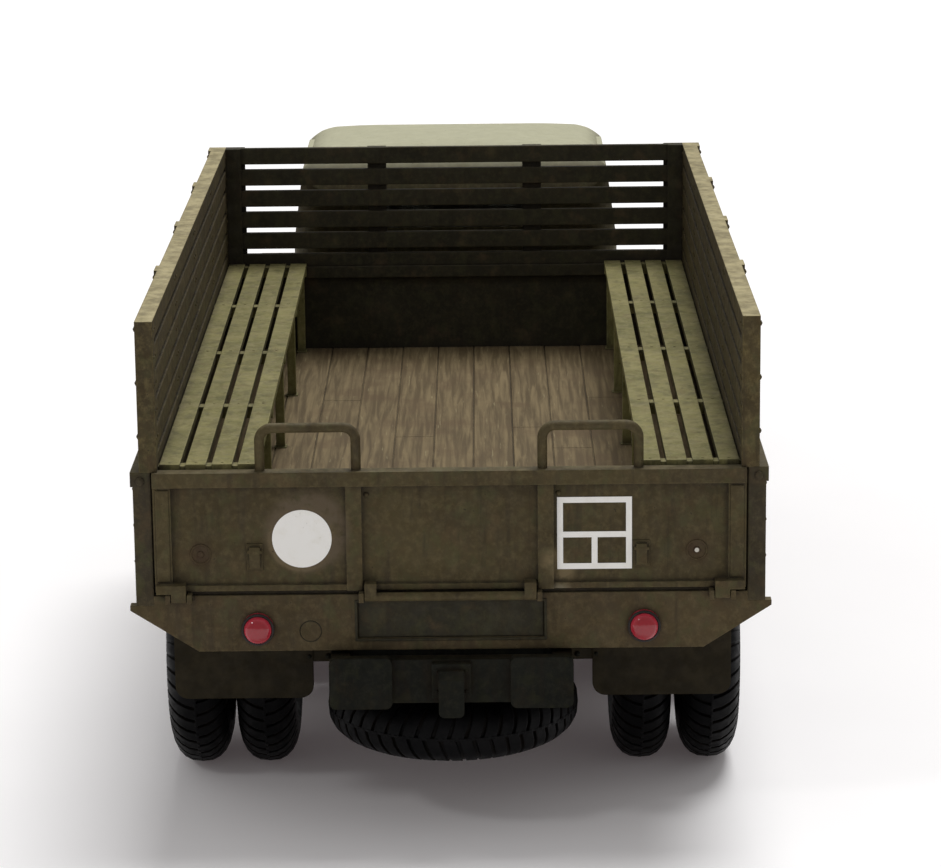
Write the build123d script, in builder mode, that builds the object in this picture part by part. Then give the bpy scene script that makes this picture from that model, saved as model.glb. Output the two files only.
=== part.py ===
"""A 1:35 static display model of a six-wheel military cargo truck, in millimetres at the model's own size.

+X points to the front of the truck, +Y to its left and +Z up. The ground is Z = 0, and X = 0 is the
middle of the overall length, from the pintle hook's back to the front bumper's face.
"""

import os
from math import cos, radians, sin

from build123d import *

os.makedirs("parts", exist_ok=True)

# ---------------------------------------------------------------- driving dimensions
# layout along X
BED_LENGTH = 108.0
CAB_GAP = 2.6  # bed front to cab back
CAB_LENGTH = 30.4
REAR_OVERHANG = 28.6  # rear axle ahead of the bed's rear face
BOGIE_PITCH = 32.0
WHEELBASE = 119.0  # front axle to the bogie's middle
FRONT_OVERHANG = 24.5  # bumper face ahead of the front axle
PINTLE_REACH = 4.2  # pintle hook behind the bed's rear face
HOOD_AHEAD = 14.0  # radiator face ahead of the front axle

# wheels
TYRE_R = 13.2
TYRE_W = 6.4
RIM_R = 7.3
FRONT_TRACK = 43.8
DUAL_TRACK = 48.0  # between the middles of the two pairs
DUAL_PITCH = 7.4  # between the tyres of one pair
TREAD_H = 0.6  # lug height
LUGS = 14  # bars around the tread, one on each facet
LUG_W = 2.4
SPARE_AHEAD = 12.0  # spare wheel's middle ahead of the bed's rear face
SPARE_DROP = 1.1  # spare tyre below the frame
SPINDLE_R = 1.1
RUN_CLEAR = 0.08  # radial clearance of every turning fit
SIDE_CLEAR = 0.3  # clearance beside moving pieces

# chassis frame
FRAME_W = 24.6
FRAME_TOP = 20.4
RAIL_DEPTH = 4.6
RAIL_DEPTH_FRONT = 3.0
RAIL_FLANGE = 2.0
RAIL_WEB = 0.7
FRAME_TAIL = 1.9  # frame rails reach behind the bed

# cargo bed
BED_W = 63.9
FLOOR_TOP = 28.7
FLOOR_T = 1.0
SIDE_T = 1.8  # corner post and rack thickness
PANEL_T = 1.0
GATE_TOP = 39.8
RACK_TOP = 55.3
RACK_INSET = 0.7  # racks stand this far inside the bed's outer face
SIDE_RAIL_H = 1.5
POST_W = 2.9
POST_PROUD = 0.35  # rack posts stand out of the rack's outer face
BOARD_T = 0.8
BOARD_GAP = 0.7
BOARD_H = 2.07
BOARD_COUNT = 5  # above the lowest one, which fills what is left
SEAT_TOP = 40.3
SLAT_T = 0.8
SLAT_W = 2.05
SLAT_COUNT = 4
SEAT_W = 10.0
SILL_BOTTOM = 20.9
GATE_BOTTOM = 27.3

# cab and bonnet
CAB_W = 42.5
CAB_FLOOR = 20.6
CAB_BELT = 41.5
CAB_ROOF = 54.4
ROOF_CURVE = 2.8  # the roof's crown above its eaves
CAB_WALL = 0.9
HOOD_Z = (29.4, 43.0)  # bottom and top at the cowl
HOOD_DROP = 2.2  # the bonnet's fall to the front
FENDER_W = 58.4
FENDER_T = 0.7
BOARD_Z = 17.5  # running board top

# steering
KINGPIN_Y = 17.3
ARM_REACH = 5.5
STEER_PIN_R = 0.35
KINGPIN_R = 0.6

# ---------------------------------------------------------------- places worked out from them
OVERALL = PINTLE_REACH + REAR_OVERHANG + BOGIE_PITCH / 2 + WHEELBASE + FRONT_OVERHANG
bed_rear = -OVERALL / 2 + PINTLE_REACH
bed_front = bed_rear + BED_LENGTH
rear_axle_x = bed_rear + REAR_OVERHANG
mid_axle_x = rear_axle_x + BOGIE_PITCH
bogie_x = (rear_axle_x + mid_axle_x) / 2
front_axle_x = bogie_x + WHEELBASE
bumper_x = front_axle_x + FRONT_OVERHANG
cab_back = bed_front + CAB_GAP
cab_front = cab_back + CAB_LENGTH
hood_front = front_axle_x + HOOD_AHEAD
axle_z = TYRE_R
floor_bottom = FLOOR_TOP - FLOOR_T
side_in = BED_W / 2 - SIDE_T  # inner face of the sides
rail_out = FRAME_W / 2
rail_in = rail_out - RAIL_FLANGE
frame_bottom = FRAME_TOP - RAIL_DEPTH
spare_x = bed_rear + SPARE_AHEAD
spare_z = frame_bottom - SPARE_DROP - TYRE_W / 2
rack_out = BED_W / 2 - RACK_INSET
rack_in = rack_out - SIDE_T
inner_y, outer_y = DUAL_TRACK / 2 - DUAL_PITCH / 2, DUAL_TRACK / 2 + DUAL_PITCH / 2  # tyres of a pair
stations = [bed_rear + POST_W / 2 + i * (BED_LENGTH - POST_W) / 4 for i in range(5)]


# ---------------------------------------------------------------- helpers
def block(x, y, z, mode=Mode.ADD):
    """A box between two limits on each axis, in the part being built."""
    with Locations(((x[0] + x[1]) / 2, (y[0] + y[1]) / 2, (z[0] + z[1]) / 2)):
        Box(x[1] - x[0], y[1] - y[0], z[1] - z[0], mode=mode)


def mirrored(side, low, high):
    """The limits low..high on the left (side 1) or on the right (side -1)."""
    return (low, high) if side > 0 else (-high, -low)


def rod_y(x, y, z, r, mode=Mode.ADD):
    """A round bar along Y between y[0] and y[1]."""
    with Locations(Location((x, (y[0] + y[1]) / 2, z), (90, 0, 0))):
        Cylinder(r, y[1] - y[0], mode=mode)


def rod_x(x, y, z, r, mode=Mode.ADD):
    """A round bar along X between x[0] and x[1]."""
    with Locations(Location(((x[0] + x[1]) / 2, y, z), (0, 90, 0))):
        Cylinder(r, x[1] - x[0], mode=mode)


def rod_z(x, y, z, r, mode=Mode.ADD):
    """A round bar along Z between z[0] and z[1]."""
    with Locations((x, y, (z[0] + z[1]) / 2)):
        Cylinder(r, z[1] - z[0], mode=mode)


def save(name, built):
    """Labels a finished piece and writes its STEP file."""
    built.part.label = name
    export_step(built.part, f"parts/{name}.step")


# ---------------------------------------------------------------- chassis frame
with BuildPart() as frame:
    step_x = cab_front - 6.0
    spans = [
        (bed_rear - FRAME_TAIL, step_x, RAIL_DEPTH),
        (step_x, bumper_x - 2.2, RAIL_DEPTH_FRONT),
    ]
    for side in (1, -1):
        for x0, x1, depth in spans:
            block((x0, x1), mirrored(side, rail_in, rail_out), (FRAME_TOP - depth, FRAME_TOP))
            block(
                (x0 - 0.1, x1 + 0.1),
                mirrored(side, rail_in, rail_out - RAIL_WEB),
                (FRAME_TOP - depth + RAIL_WEB, FRAME_TOP - RAIL_WEB),
                mode=Mode.SUBTRACT,
            )
    # cross members: name, x, length along X, depth
    cross = [
        ("tail", bed_rear - FRAME_TAIL + 0.8, 1.6, RAIL_DEPTH),
        ("behind bogie", bogie_x - 3.5, 1.6, 2.6),
        ("before bogie", bogie_x + 3.5, 1.6, 2.6),
        ("mid", bogie_x + 39.4, 1.6, 2.6),
        ("gearbox", cab_back + 4.0, 2.4, 2.6),
        ("radiator", hood_front - 1.0, 2.4, 3.0),
        ("horn", bumper_x - 3.4, 1.6, 2.4),
    ]
    for _, x, length, depth in cross:
        half = rail_out - 0.1
        block((x - length / 2, x + length / 2), (-half, half), (FRAME_TOP - depth, FRAME_TOP))
    # carrier of the spare wheel: a cross bar and its hanging screw
    half = rail_out - 0.8
    block((spare_x - 1.2, spare_x + 1.2), (-half, half), (frame_bottom + 0.8, frame_bottom + 2.4))
    rod_z(spare_x, 0, (spare_z - 0.6, frame_bottom + 1.0), 0.7)
save("frame", frame)

# ---------------------------------------------------------------- front bumper
with BuildPart() as front_bumper:
    bumper_z = (FRAME_TOP - 7.6, FRAME_TOP - 2.0)
    bumper_w = FENDER_W - 1.0
    block((bumper_x - 0.8, bumper_x), (-bumper_w / 2, bumper_w / 2), bumper_z)
    for z0 in (bumper_z[0], bumper_z[1] - 0.7):
        block((bumper_x - 2.2, bumper_x - 0.4), (-bumper_w / 2, bumper_w / 2), (z0, z0 + 0.7))
save("front_bumper", front_bumper)

# ---------------------------------------------------------------- tail of the frame
tail_x = bed_rear - FRAME_TAIL
with BuildPart() as bumperettes:
    for side in (1, -1):
        with BuildSketch(Plane.YZ.offset(tail_x - 1.1)):
            with Locations((side * (rail_out - 3.1), FRAME_TOP - 2.2)):
                RectangleRounded(6.4, 5.4, 0.7)
        extrude(amount=1.1)
save("bumperettes", bumperettes)

with BuildPart() as pintle_hook:
    block((tail_x - 0.9, tail_x), (-2.0, 2.0), (FRAME_TOP - 3.8, FRAME_TOP - 0.2))
    with BuildSketch(Plane.XZ.offset(-1.3)):
        with BuildLine():
            hook_z = (FRAME_TOP - 5.5, FRAME_TOP - 0.8)
            Polyline(
                (tail_x - 0.9, hook_z[1]),
                (tail_x - 0.9, hook_z[0] + 1.3),
                (tail_x - 1.5, hook_z[0]),
                (bed_rear - PINTLE_REACH, hook_z[0]),
                (bed_rear - PINTLE_REACH, hook_z[1] - 0.7),
                (tail_x - 1.4, hook_z[1]),
                close=True,
            )
        make_face()
    extrude(amount=2.6)
    fillet(edges().filter_by(Axis.X).group_by(Axis.Z)[0], 0.6)
save("pintle_hook", pintle_hook)

# ---------------------------------------------------------------- axles and springs
DIFF_R = 3.2
AXLE_R = 1.6
rear_spindle_y = outer_y - 1.0
drum_y = (inner_y - 4.2, inner_y - 3.2)
SPRING_Y = (13.1, 15.3)  # rear springs, inner and outer |y|


def axle_beam(x, tube_end, nose):
    """A banjo axle: a tube, a round differential housing and its pinion nose towards +X or -X."""
    rod_y(x, (-tube_end, tube_end), axle_z, AXLE_R)
    rod_y(x, (-2.6, 2.6), axle_z, DIFF_R)
    rod_y(x, (-3.6, 3.6), axle_z, DIFF_R - 1.0)
    rod_x((x, x + nose) if nose > 0 else (x + nose, x), 0, axle_z, 1.5)


for name, x, nose in (("axle_rear", rear_axle_x, 6.0), ("axle_middle", mid_axle_x, 6.0)):
    with BuildPart() as axle:
        axle_beam(x, drum_y[1], nose)
        rod_y(x, (-rear_spindle_y, rear_spindle_y), axle_z, SPINDLE_R)
        for side in (1, -1):
            rod_y(x, mirrored(side, *drum_y), axle_z, 5.0)
            block((x - 1.4, x + 1.4), mirrored(side, *SPRING_Y), (axle_z, axle_z + AXLE_R + 0.5))
    save(name, axle)

YOKE_Z = (axle_z - 3.8, axle_z + 3.8)  # outer faces of the front axle's kingpin ears
with BuildPart() as axle_front:
    axle_beam(front_axle_x, 14.6, -6.0)
    for side in (1, -1):
        block(
            (front_axle_x - 1.5, front_axle_x + 1.5),
            mirrored(side, 14.2, 15.4),
            YOKE_Z,
        )
        for z0 in (YOKE_Z[0], YOKE_Z[1] - 1.0):
            block(
                (front_axle_x - 1.5, front_axle_x + 1.5),
                mirrored(side, 14.2, KINGPIN_Y),
                (z0, z0 + 1.0),
            )
            rod_z(front_axle_x, side * KINGPIN_Y, (z0, z0 + 1.0), 1.5)
        rod_z(
            front_axle_x,
            side * KINGPIN_Y,
            (YOKE_Z[0] - 1, YOKE_Z[1] + 1),
            KINGPIN_R + RUN_CLEAR,
            mode=Mode.SUBTRACT,
        )
save("axle_front", axle_front)

FRONT_SPRING_HALF = 17.0
with BuildPart() as springs_front:
    for side in (1, -1):
        y0 = 10.4
        with BuildSketch(Plane.XZ.offset(-side * y0)):
            with BuildLine():
                x0, x1 = front_axle_x - FRONT_SPRING_HALF, front_axle_x + FRONT_SPRING_HALF
                z_eye = FRAME_TOP - RAIL_DEPTH_FRONT
                ThreePointArc((x0, z_eye), (front_axle_x, z_eye - 0.9), (x1, z_eye))
                Line((x1, z_eye), (x1, z_eye - 0.8))
                ThreePointArc((x1, z_eye - 0.8), (front_axle_x, axle_z + AXLE_R), (x0, z_eye - 0.8))
                Line((x0, z_eye - 0.8), (x0, z_eye))
            make_face()
        extrude(amount=-side * 1.9)
save("springs_front", springs_front)

ROD_R = 0.55
with BuildPart() as bogie_springs:
    for side in (1, -1):
        pad_z = axle_z + AXLE_R + 0.5
        with BuildSketch(Plane.XZ.offset(-side * SPRING_Y[0])):
            with BuildLine():
                ends = (rear_axle_x - 1.0, mid_axle_x + 1.0)
                ThreePointArc((ends[0], pad_z + 0.7), (bogie_x, FRAME_TOP - 1.0), (ends[1], pad_z + 0.7))
                Line((ends[1], pad_z + 0.7), (ends[1], pad_z))
                ThreePointArc((ends[1], pad_z), (bogie_x, FRAME_TOP - 4.2), (ends[0], pad_z))
                Line((ends[0], pad_z), (ends[0], pad_z + 0.7))
            make_face()
        extrude(amount=-side * (SPRING_Y[1] - SPRING_Y[0]))
        # the spring seat and its trunnion bracket on the frame
        trunnion_z = (axle_z - 1.6, frame_bottom + 0.8)
        block((bogie_x - 2.2, bogie_x + 2.2), mirrored(side, rail_out, SPRING_Y[1]), trunnion_z)
        bracket_z = (trunnion_z[1] - 0.6, FRAME_TOP - 0.8)
        block((bogie_x - 1.6, bogie_x + 1.6), mirrored(side, rail_out, SPRING_Y[0] + 0.2), bracket_z)
        # torque rods to both axles
        for x0, x1 in ((rear_axle_x + AXLE_R, bogie_x - 2.1), (bogie_x + 2.1, mid_axle_x - AXLE_R)):
            rod_x((x0, x1), side * sum(SPRING_Y) / 2, axle_z - 0.6, ROD_R)
    rod_y(bogie_x, (-rail_out - 0.5, rail_out + 0.5), frame_bottom - 0.9, 0.85)
save("bogie_springs", bogie_springs)

# ---------------------------------------------------------------- steering
ARM_Z = (axle_z - 2.0, axle_z - 1.1)  # steering arms
for name, side in (("knuckle_left", 1), ("knuckle_right", -1)):
    with BuildPart() as knuckle:
        gap = RUN_CLEAR + 0.1
        rod_z(front_axle_x, side * KINGPIN_Y, (YOKE_Z[0] + 1.0 + gap, YOKE_Z[1] - 1.0 - gap), 1.5)
        rod_z(front_axle_x, side * KINGPIN_Y, YOKE_Z, KINGPIN_R)
        rod_y(front_axle_x, mirrored(side, KINGPIN_Y, FRONT_TRACK / 2 + 1.6), axle_z, SPINDLE_R)
        block(
            (front_axle_x - ARM_REACH, front_axle_x),
            mirrored(side, KINGPIN_Y - 0.6, KINGPIN_Y + 0.6),
            ARM_Z,
        )
        rod_z(front_axle_x - ARM_REACH, side * KINGPIN_Y, ARM_Z, 0.9)
        rod_z(
            front_axle_x - ARM_REACH,
            side * KINGPIN_Y,
            (ARM_Z[0] - 1.2, ARM_Z[0]),
            STEER_PIN_R,
        )
    save(name, knuckle)

with BuildPart() as tie_rod:
    eye_z = (ARM_Z[0] - 1.0, ARM_Z[0] - 0.1)
    eye_y = KINGPIN_Y
    rod_y(front_axle_x - ARM_REACH, (-eye_y, eye_y), sum(eye_z) / 2, 0.45)
    for side in (1, -1):
        rod_z(front_axle_x - ARM_REACH, side * eye_y, eye_z, 0.9)
    for side in (1, -1):
        rod_z(
            front_axle_x - ARM_REACH,
            side * eye_y,
            (eye_z[0] - 0.1, eye_z[1] + 0.1),
            STEER_PIN_R + RUN_CLEAR,
            mode=Mode.SUBTRACT,
        )
save("tie_rod", tie_rod)


# ---------------------------------------------------------------- wheels and tyres
def toothed_ring(radius, height):
    """The corners of a ring of flat bars, each standing height above the flats between them."""
    corners = []
    for i in range(LUGS):
        turn = 360 / LUGS * i
        across, out = Vector(0, LUG_W / 2).rotate(Axis.Z, turn), Vector(1, 0).rotate(Axis.Z, turn)
        foot, top = out * (radius - height), out * radius
        corners += [foot - across, top - across, top + across, foot + across]
    return corners


def tyre(plane):
    """A tyre with a bar of tread on each facet. plane is square to the axle, at the tyre's middle."""
    tread_half = TYRE_W * 0.36
    # one sidewall, from the tread to the bead: distance from the tyre's middle, radius
    wall = [(tread_half - 0.2, TYRE_R - 1.2), (TYRE_W / 2, RIM_R + 2.9), (TYRE_W / 3, RIM_R + 0.1)]
    with BuildPart() as ring:
        with BuildSketch(plane.offset(-tread_half)):
            with BuildLine():
                Polyline(*toothed_ring(TYRE_R, TREAD_H), close=True)
            make_face()
        extrude(amount=2 * tread_half)
        for sign in (-1, 1):
            for w, r in wall:
                with BuildSketch(plane.offset(sign * w)):
                    RegularPolygon(r, LUGS, major_radius=False, rotation=180 / LUGS)
            loft(ruled=True)
        with BuildSketch(plane.offset(-TYRE_W / 2)):
            RegularPolygon(RIM_R, LUGS, major_radius=False, rotation=180 / LUGS)
        extrude(amount=TYRE_W, mode=Mode.SUBTRACT)
    return ring.part


def rim_ring(plane, axis, dish):
    """A rim with its dished disc. dish is how far the disc's middle stands out along the plane's x."""
    w = TYRE_W / 2 * 0.66
    t = 0.7
    with BuildSketch(plane) as profile:
        with BuildLine():
            Polyline(
                (-w, RIM_R),
                (w, RIM_R),
                (w, RIM_R - 1.0),
                (w - 0.6, RIM_R - 1.0),
                (w - 0.6, RIM_R - 0.7),
                (0.4, RIM_R - 0.7),
                (0.4 + dish, 3.2),
                (0.4 + dish, 0),
                (0.4 + dish - t - 0.2, 0),
                (0.4 + dish - t - 0.2, 3.2),
                (-0.5, RIM_R - 0.9),
                (-w + 0.6, RIM_R - 0.7),
                (-w + 0.6, RIM_R - 1.0),
                (-w, RIM_R - 1.0),
                close=True,
            )
        make_face()
    revolve(profile.sketch, axis=axis)


def wheel_plane(x, y, side):
    """A sketch plane through a wheel's middle, its x outwards along the axle and its y up."""
    return Plane(origin=(x, y, axle_z), x_dir=(0, side, 0), z_dir=(side, 0, 0))


def tyre_plane(x, y):
    """A plane square to the axle at a tyre's middle, with its x straight down."""
    return Plane(origin=(x, y, axle_z), x_dir=(0, 0, -1), z_dir=(0, 1, 0))


HAND_HOLES = 6


def hand_holes(x, side, y_range):
    """The ring of round holes through a wheel's disc."""
    for i in range(HAND_HOLES):
        a = radians(360 / HAND_HOLES * i + 30)
        rod_y(
            x + 4.9 * cos(a),
            mirrored(side, *y_range),
            axle_z + 4.9 * sin(a),
            0.8,
            mode=Mode.SUBTRACT,
        )


front_wheel_y = FRONT_TRACK / 2
for name, side in (("front_left", 1), ("front_right", -1)):
    plane = wheel_plane(front_axle_x, side * front_wheel_y, side)
    axis = Axis((front_axle_x, 0, axle_z), (0, 1, 0))
    with BuildPart() as front_tyre:
        add(tyre(tyre_plane(front_axle_x, side * front_wheel_y)))
    save(f"tyre_{name}", front_tyre)
    with BuildPart() as wheel:
        rim_ring(plane, axis, 1.6)
        hand_holes(front_axle_x, side, (front_wheel_y - 3, front_wheel_y + 3.4))
        rod_y(front_axle_x, mirrored(side, KINGPIN_Y + 1.9, front_wheel_y + 3.2), axle_z, 2.0)
        rod_y(
            front_axle_x,
            mirrored(side, KINGPIN_Y + 1.8, front_wheel_y + 1.6 + SIDE_CLEAR),
            axle_z,
            SPINDLE_R + RUN_CLEAR,
            mode=Mode.SUBTRACT,
        )
    save(f"wheel_{name}", wheel)

pairs = [
    ("middle_left", mid_axle_x, 1),
    ("middle_right", mid_axle_x, -1),
    ("rear_left", rear_axle_x, 1),
    ("rear_right", rear_axle_x, -1),
]
for name, x, side in pairs:
    axis = Axis((x, 0, axle_z), (0, 1, 0))
    with BuildPart() as tyres:
        for y in (inner_y, outer_y):
            add(tyre(tyre_plane(x, side * y)))
    save(f"tyres_{name}", tyres)
    with BuildPart() as wheels:
        rim_ring(wheel_plane(x, side * inner_y, side), axis, 1.6)
        rim_ring(wheel_plane(x, side * outer_y, side), axis, -1.6)
        hand_holes(x, side, (outer_y - 3, outer_y + 3))
        rod_y(x, mirrored(side, inner_y - 2.8, outer_y + 1.4), axle_z, 2.2)
        rod_y(
            x,
            mirrored(side, inner_y - 3.0, rear_spindle_y + SIDE_CLEAR),
            axle_z,
            SPINDLE_R + RUN_CLEAR,
            mode=Mode.SUBTRACT,
        )
    save(f"wheels_{name}", wheels)

# ---------------------------------------------------------------- spare wheel, flat under the frame's tail
spare_axis = Axis((spare_x, 0, spare_z), (0, 0, 1))
with BuildPart() as spare_tyre:
    add(tyre(Plane(origin=(spare_x, 0, spare_z))))
save("spare_tyre", spare_tyre)
with BuildPart() as spare_wheel:
    rim_ring(Plane(origin=(spare_x, 0, spare_z), x_dir=(0, 0, -1), z_dir=(0, -1, 0)), spare_axis, 1.2)
save("spare_wheel", spare_wheel)

# ---------------------------------------------------------------- driveline
with BuildPart() as engine:
    block((cab_front + 0.3, hood_front - 6.5), (-5.5, 5.5), (axle_z + DIFF_R + 0.5, HOOD_Z[0] + 3.6))
    block((cab_back + 8.0, cab_front + 1.0), (-3.6, 3.6), (15.4, CAB_FLOOR - 0.4))
save("engine_and_gearbox", engine)

transfer_x = bogie_x + 45.4
with BuildPart() as transfer_case:
    block((transfer_x - 4.0, transfer_x + 4.0), (-5.0, 5.0), (10.0, 17.8))
    block((transfer_x - 2.5, transfer_x + 2.5), (-rail_in, rail_in), (16.0, 17.8))
save("transfer_case", transfer_case)

with BuildPart() as propeller_shafts:
    runs = [
        ("to front axle", transfer_x + 4.0, front_axle_x - 6.0, 0.0, axle_z),
        ("to middle axle", mid_axle_x + 6.0, transfer_x - 4.0, 0.0, axle_z),
        ("to rear axle", rear_axle_x + 6.0, mid_axle_x - DIFF_R, 0.0, axle_z),
    ]
    for _, x0, x1, y, z in runs:
        rod_x((x0, x1), y, z, 0.7)
        for end in ((x0, x0 + 1.6), (x1 - 1.6, x1)):
            rod_x(end, y, z, 1.1)
save("propeller_shafts", propeller_shafts)

# ---------------------------------------------------------------- cab
DOOR_X = (cab_back + 7.0, cab_front - 5.6)
eaves = CAB_ROOF - ROOF_CURVE
DOOR_Z = (CAB_FLOOR + 1.2, eaves + 0.2)
DOOR_GAP = 0.1
WINDOW_SILL = 43.2
SCREEN_LEAN = 4.2  # the windscreen's top lies this far behind its foot
screen_top = eaves + 1.2
back_top = eaves - 2.5  # where the cab's back starts to curve into the roof


def cab_form(inset):
    """The cab's closed outer form, or its hollow when inset is the wall thickness."""
    y0 = CAB_W / 2 - inset
    base = CAB_FLOOR + inset
    roof = CAB_ROOF - inset
    back, front = cab_back + inset, cab_front - inset
    with BuildPart() as form:
        with BuildSketch(Plane.YZ.offset(back)):
            with BuildLine():
                Polyline((-y0 + 1.4, eaves - inset), (-y0, CAB_BELT), (-y0, base), (y0, base), (y0, CAB_BELT))
                Line((y0, CAB_BELT), (y0 - 1.4, eaves - inset))
                ThreePointArc((y0 - 1.4, eaves - inset), (y0 - 2.5, roof - 1.9), (y0 - 5.0, roof - 0.8))
                ThreePointArc((y0 - 5.0, roof - 0.8), (0, roof), (-y0 + 5.0, roof - 0.8))
                ThreePointArc((-y0 + 5.0, roof - 0.8), (-y0 + 2.5, roof - 1.9), (-y0 + 1.4, eaves - inset))
            make_face()
        extrude(amount=front - back)
        with BuildSketch(Plane.XZ):
            with BuildLine():
                Polyline((back, back_top), (back, base), (front, base), (front, WINDOW_SILL))
                Line((front, WINDOW_SILL), (front - SCREEN_LEAN, screen_top - inset))
                ThreePointArc(
                    (front - SCREEN_LEAN, screen_top - inset),
                    (front - SCREEN_LEAN - 1.4, roof - 0.9),
                    (front - SCREEN_LEAN - 5.0, roof - 0.2),
                )
                Line((front - SCREEN_LEAN - 5.0, roof - 0.2), (back + 9.0, roof))
                ThreePointArc((back + 9.0, roof), (back + 2.4, roof - 2.2), (back, back_top))
            make_face()
        extrude(amount=CAB_W, both=True, mode=Mode.INTERSECT)
        with BuildSketch(Plane.XY.offset(base)):
            with BuildLine():
                Polyline((front - 5.0, y0), (back + 4.0, y0))
                ThreePointArc((back + 4.0, y0), (back + 1.2, y0 - 1.2), (back, y0 - 4.0))
                Line((back, y0 - 4.0), (back, -y0 + 4.0))
                ThreePointArc((back, -y0 + 4.0), (back + 1.2, -y0 + 1.2), (back + 4.0, -y0))
                Line((back + 4.0, -y0), (front - 5.0, -y0))
                ThreePointArc((front - 5.0, -y0), (front - 1.2, -y0 + 2.2), (front, -y0 + 5.4))
                Line((front, -y0 + 5.4), (front, y0 - 5.4))
                ThreePointArc((front, y0 - 5.4), (front - 1.2, y0 - 2.2), (front - 5.0, y0))
            make_face()
        extrude(amount=roof - base, mode=Mode.INTERSECT)
    return form.part


def door_outline(plane, inset):
    """The door's side outline, its upper corners rounded, drawn inwards by inset."""
    x0, x1 = DOOR_X[0] + inset, DOOR_X[1] - inset
    z0, z1 = DOOR_Z[0] + inset, DOOR_Z[1] - inset
    with BuildSketch(plane) as outline:
        with BuildLine():
            Polyline((x0, z1 - 3.0), (x0, z0), (x1, z0), (x1, WINDOW_SILL - 0.2), (x1 - 2.6, z1))
            Line((x1 - 2.6, z1), (x0 + 3.0, z1))
            ThreePointArc((x0 + 3.0, z1), (x0 + 0.9, z1 - 0.9), (x0, z1 - 3.0))
        make_face()
    return outline.sketch


def door_window(plane):
    """The opening in the door above the belt."""
    x0, x1 = DOOR_X[0] + 1.9, DOOR_X[1] - 1.7
    z0, z1 = WINDOW_SILL, DOOR_Z[1] - 1.6
    with BuildSketch(plane) as opening:
        with BuildLine():
            Polyline((x0, z1 - 1.6), (x0, z0), (x1, z0), (x1 - 1.9, z1), (x0 + 1.6, z1))
            ThreePointArc((x0 + 1.6, z1), (x0 + 0.5, z1 - 0.5), (x0, z1 - 1.6))
        make_face()
    return opening.sketch


SCREEN_Z = (WINDOW_SILL + 1.6, eaves)
REAR_WINDOW_Z = (WINDOW_SILL + 0.8, back_top)
GLASS_LAP = 0.5  # glass behind the body around a window
GLASS_T = 0.5
cab_outer = cab_form(0)
cab_inner = cab_form(CAB_WALL)
side_plane = Plane.XZ.offset(-(CAB_W / 2 + 1))  # y = CAB_W / 2 + 1, looking along -Y

with BuildPart() as cab_body:
    add(cab_outer)
    add(cab_inner, mode=Mode.SUBTRACT)
    extrude(door_outline(side_plane, 0), amount=CAB_W + 2, mode=Mode.SUBTRACT)
    # windscreen: two openings either side of a middle post
    for side in (1, -1):
        with BuildSketch(Plane.YZ.offset(cab_front - 8.0)):
            with Locations((side * 7.6, sum(SCREEN_Z) / 2)):
                RectangleRounded(13.6, SCREEN_Z[1] - SCREEN_Z[0], 1.2)
        extrude(amount=9.0, mode=Mode.SUBTRACT)
    # rear window
    with BuildSketch(Plane.YZ.offset(cab_back - 1.0)):
        with Locations((0, sum(REAR_WINDOW_Z) / 2)):
            RectangleRounded(20.0, REAR_WINDOW_Z[1] - REAR_WINDOW_Z[0], 1.4)
    extrude(amount=4.0, mode=Mode.SUBTRACT)
save("cab_body", cab_body)

for name, side in (("door_left", 1), ("door_right", -1)):
    with BuildPart() as door:
        add(cab_outer)
        add(cab_inner, mode=Mode.SUBTRACT)
        extrude(door_outline(side_plane, DOOR_GAP), amount=CAB_W + 2, mode=Mode.INTERSECT)
        block((cab_back - 1, cab_front + 1), mirrored(-side, -1.0, CAB_W), (0, 70), mode=Mode.SUBTRACT)
        extrude(door_window(side_plane), amount=CAB_W + 2, mode=Mode.SUBTRACT)
    save(name, door)

with BuildPart() as cab_glass:
    lean = SCREEN_LEAN / (screen_top - CAB_WALL - WINDOW_SILL)
    low, top = SCREEN_Z[0] - GLASS_LAP, SCREEN_Z[1] + GLASS_LAP / 2
    with BuildSketch(Plane.XZ.offset(-14.9)):
        with BuildLine():
            foot = cab_front - CAB_WALL
            x_low = foot - (low - WINDOW_SILL) * lean
            x_top = foot - (top - WINDOW_SILL) * lean
            Polyline((x_low, low), (x_top, top), (x_top - GLASS_T, top), (x_low - GLASS_T, low), close=True)
        make_face()
    extrude(amount=29.8)
    inside = cab_back + CAB_WALL
    pane_z = (REAR_WINDOW_Z[0] - GLASS_LAP, REAR_WINDOW_Z[1] - GLASS_LAP / 5)
    block((inside, inside + GLASS_T), (-10.6, 10.6), pane_z)
save("cab_glass", cab_glass)

# ---------------------------------------------------------------- inside the cab
with BuildPart() as cab_seat:
    seat_y = CAB_W / 2 - CAB_WALL - 1.6
    cushion_top = CAB_FLOOR + 12.4
    block((cab_back + 4.4, cab_back + 15.0), (-seat_y, seat_y), (CAB_FLOOR + CAB_WALL, cushion_top))
    backrest_z = (cushion_top - 2.0, WINDOW_SILL + 0.2)
    block((cab_back + CAB_WALL + 1.0, cab_back + 5.0), (-seat_y, seat_y), backrest_z)
save("cab_seat", cab_seat)

with BuildPart() as dashboard:
    board_z = (WINDOW_SILL - 6.4, WINDOW_SILL - 0.6)
    block((cab_front - 4.6, cab_front - CAB_WALL), (-14.6, 14.6), board_z)
    column = Plane(origin=(cab_front - 3.4, 9.6, board_z[0] - 0.8), z_dir=(-1, 0, 1.35))
    with BuildSketch(column.offset(-2.8)):
        Circle(0.5)
    extrude(amount=8.8)
    with BuildSketch(column.offset(6.0)):
        Circle(4.6)
        Circle(4.0, mode=Mode.SUBTRACT)
        Rectangle(8.4, 0.7)
        Rectangle(0.7, 8.4)
    extrude(amount=0.6)
save("dashboard_and_wheel", dashboard)

# ---------------------------------------------------------------- bonnet
HOOD_HALF = (15.4, 9.4)  # half width at the cowl and at the front
HOOD_T = 0.8


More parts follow.
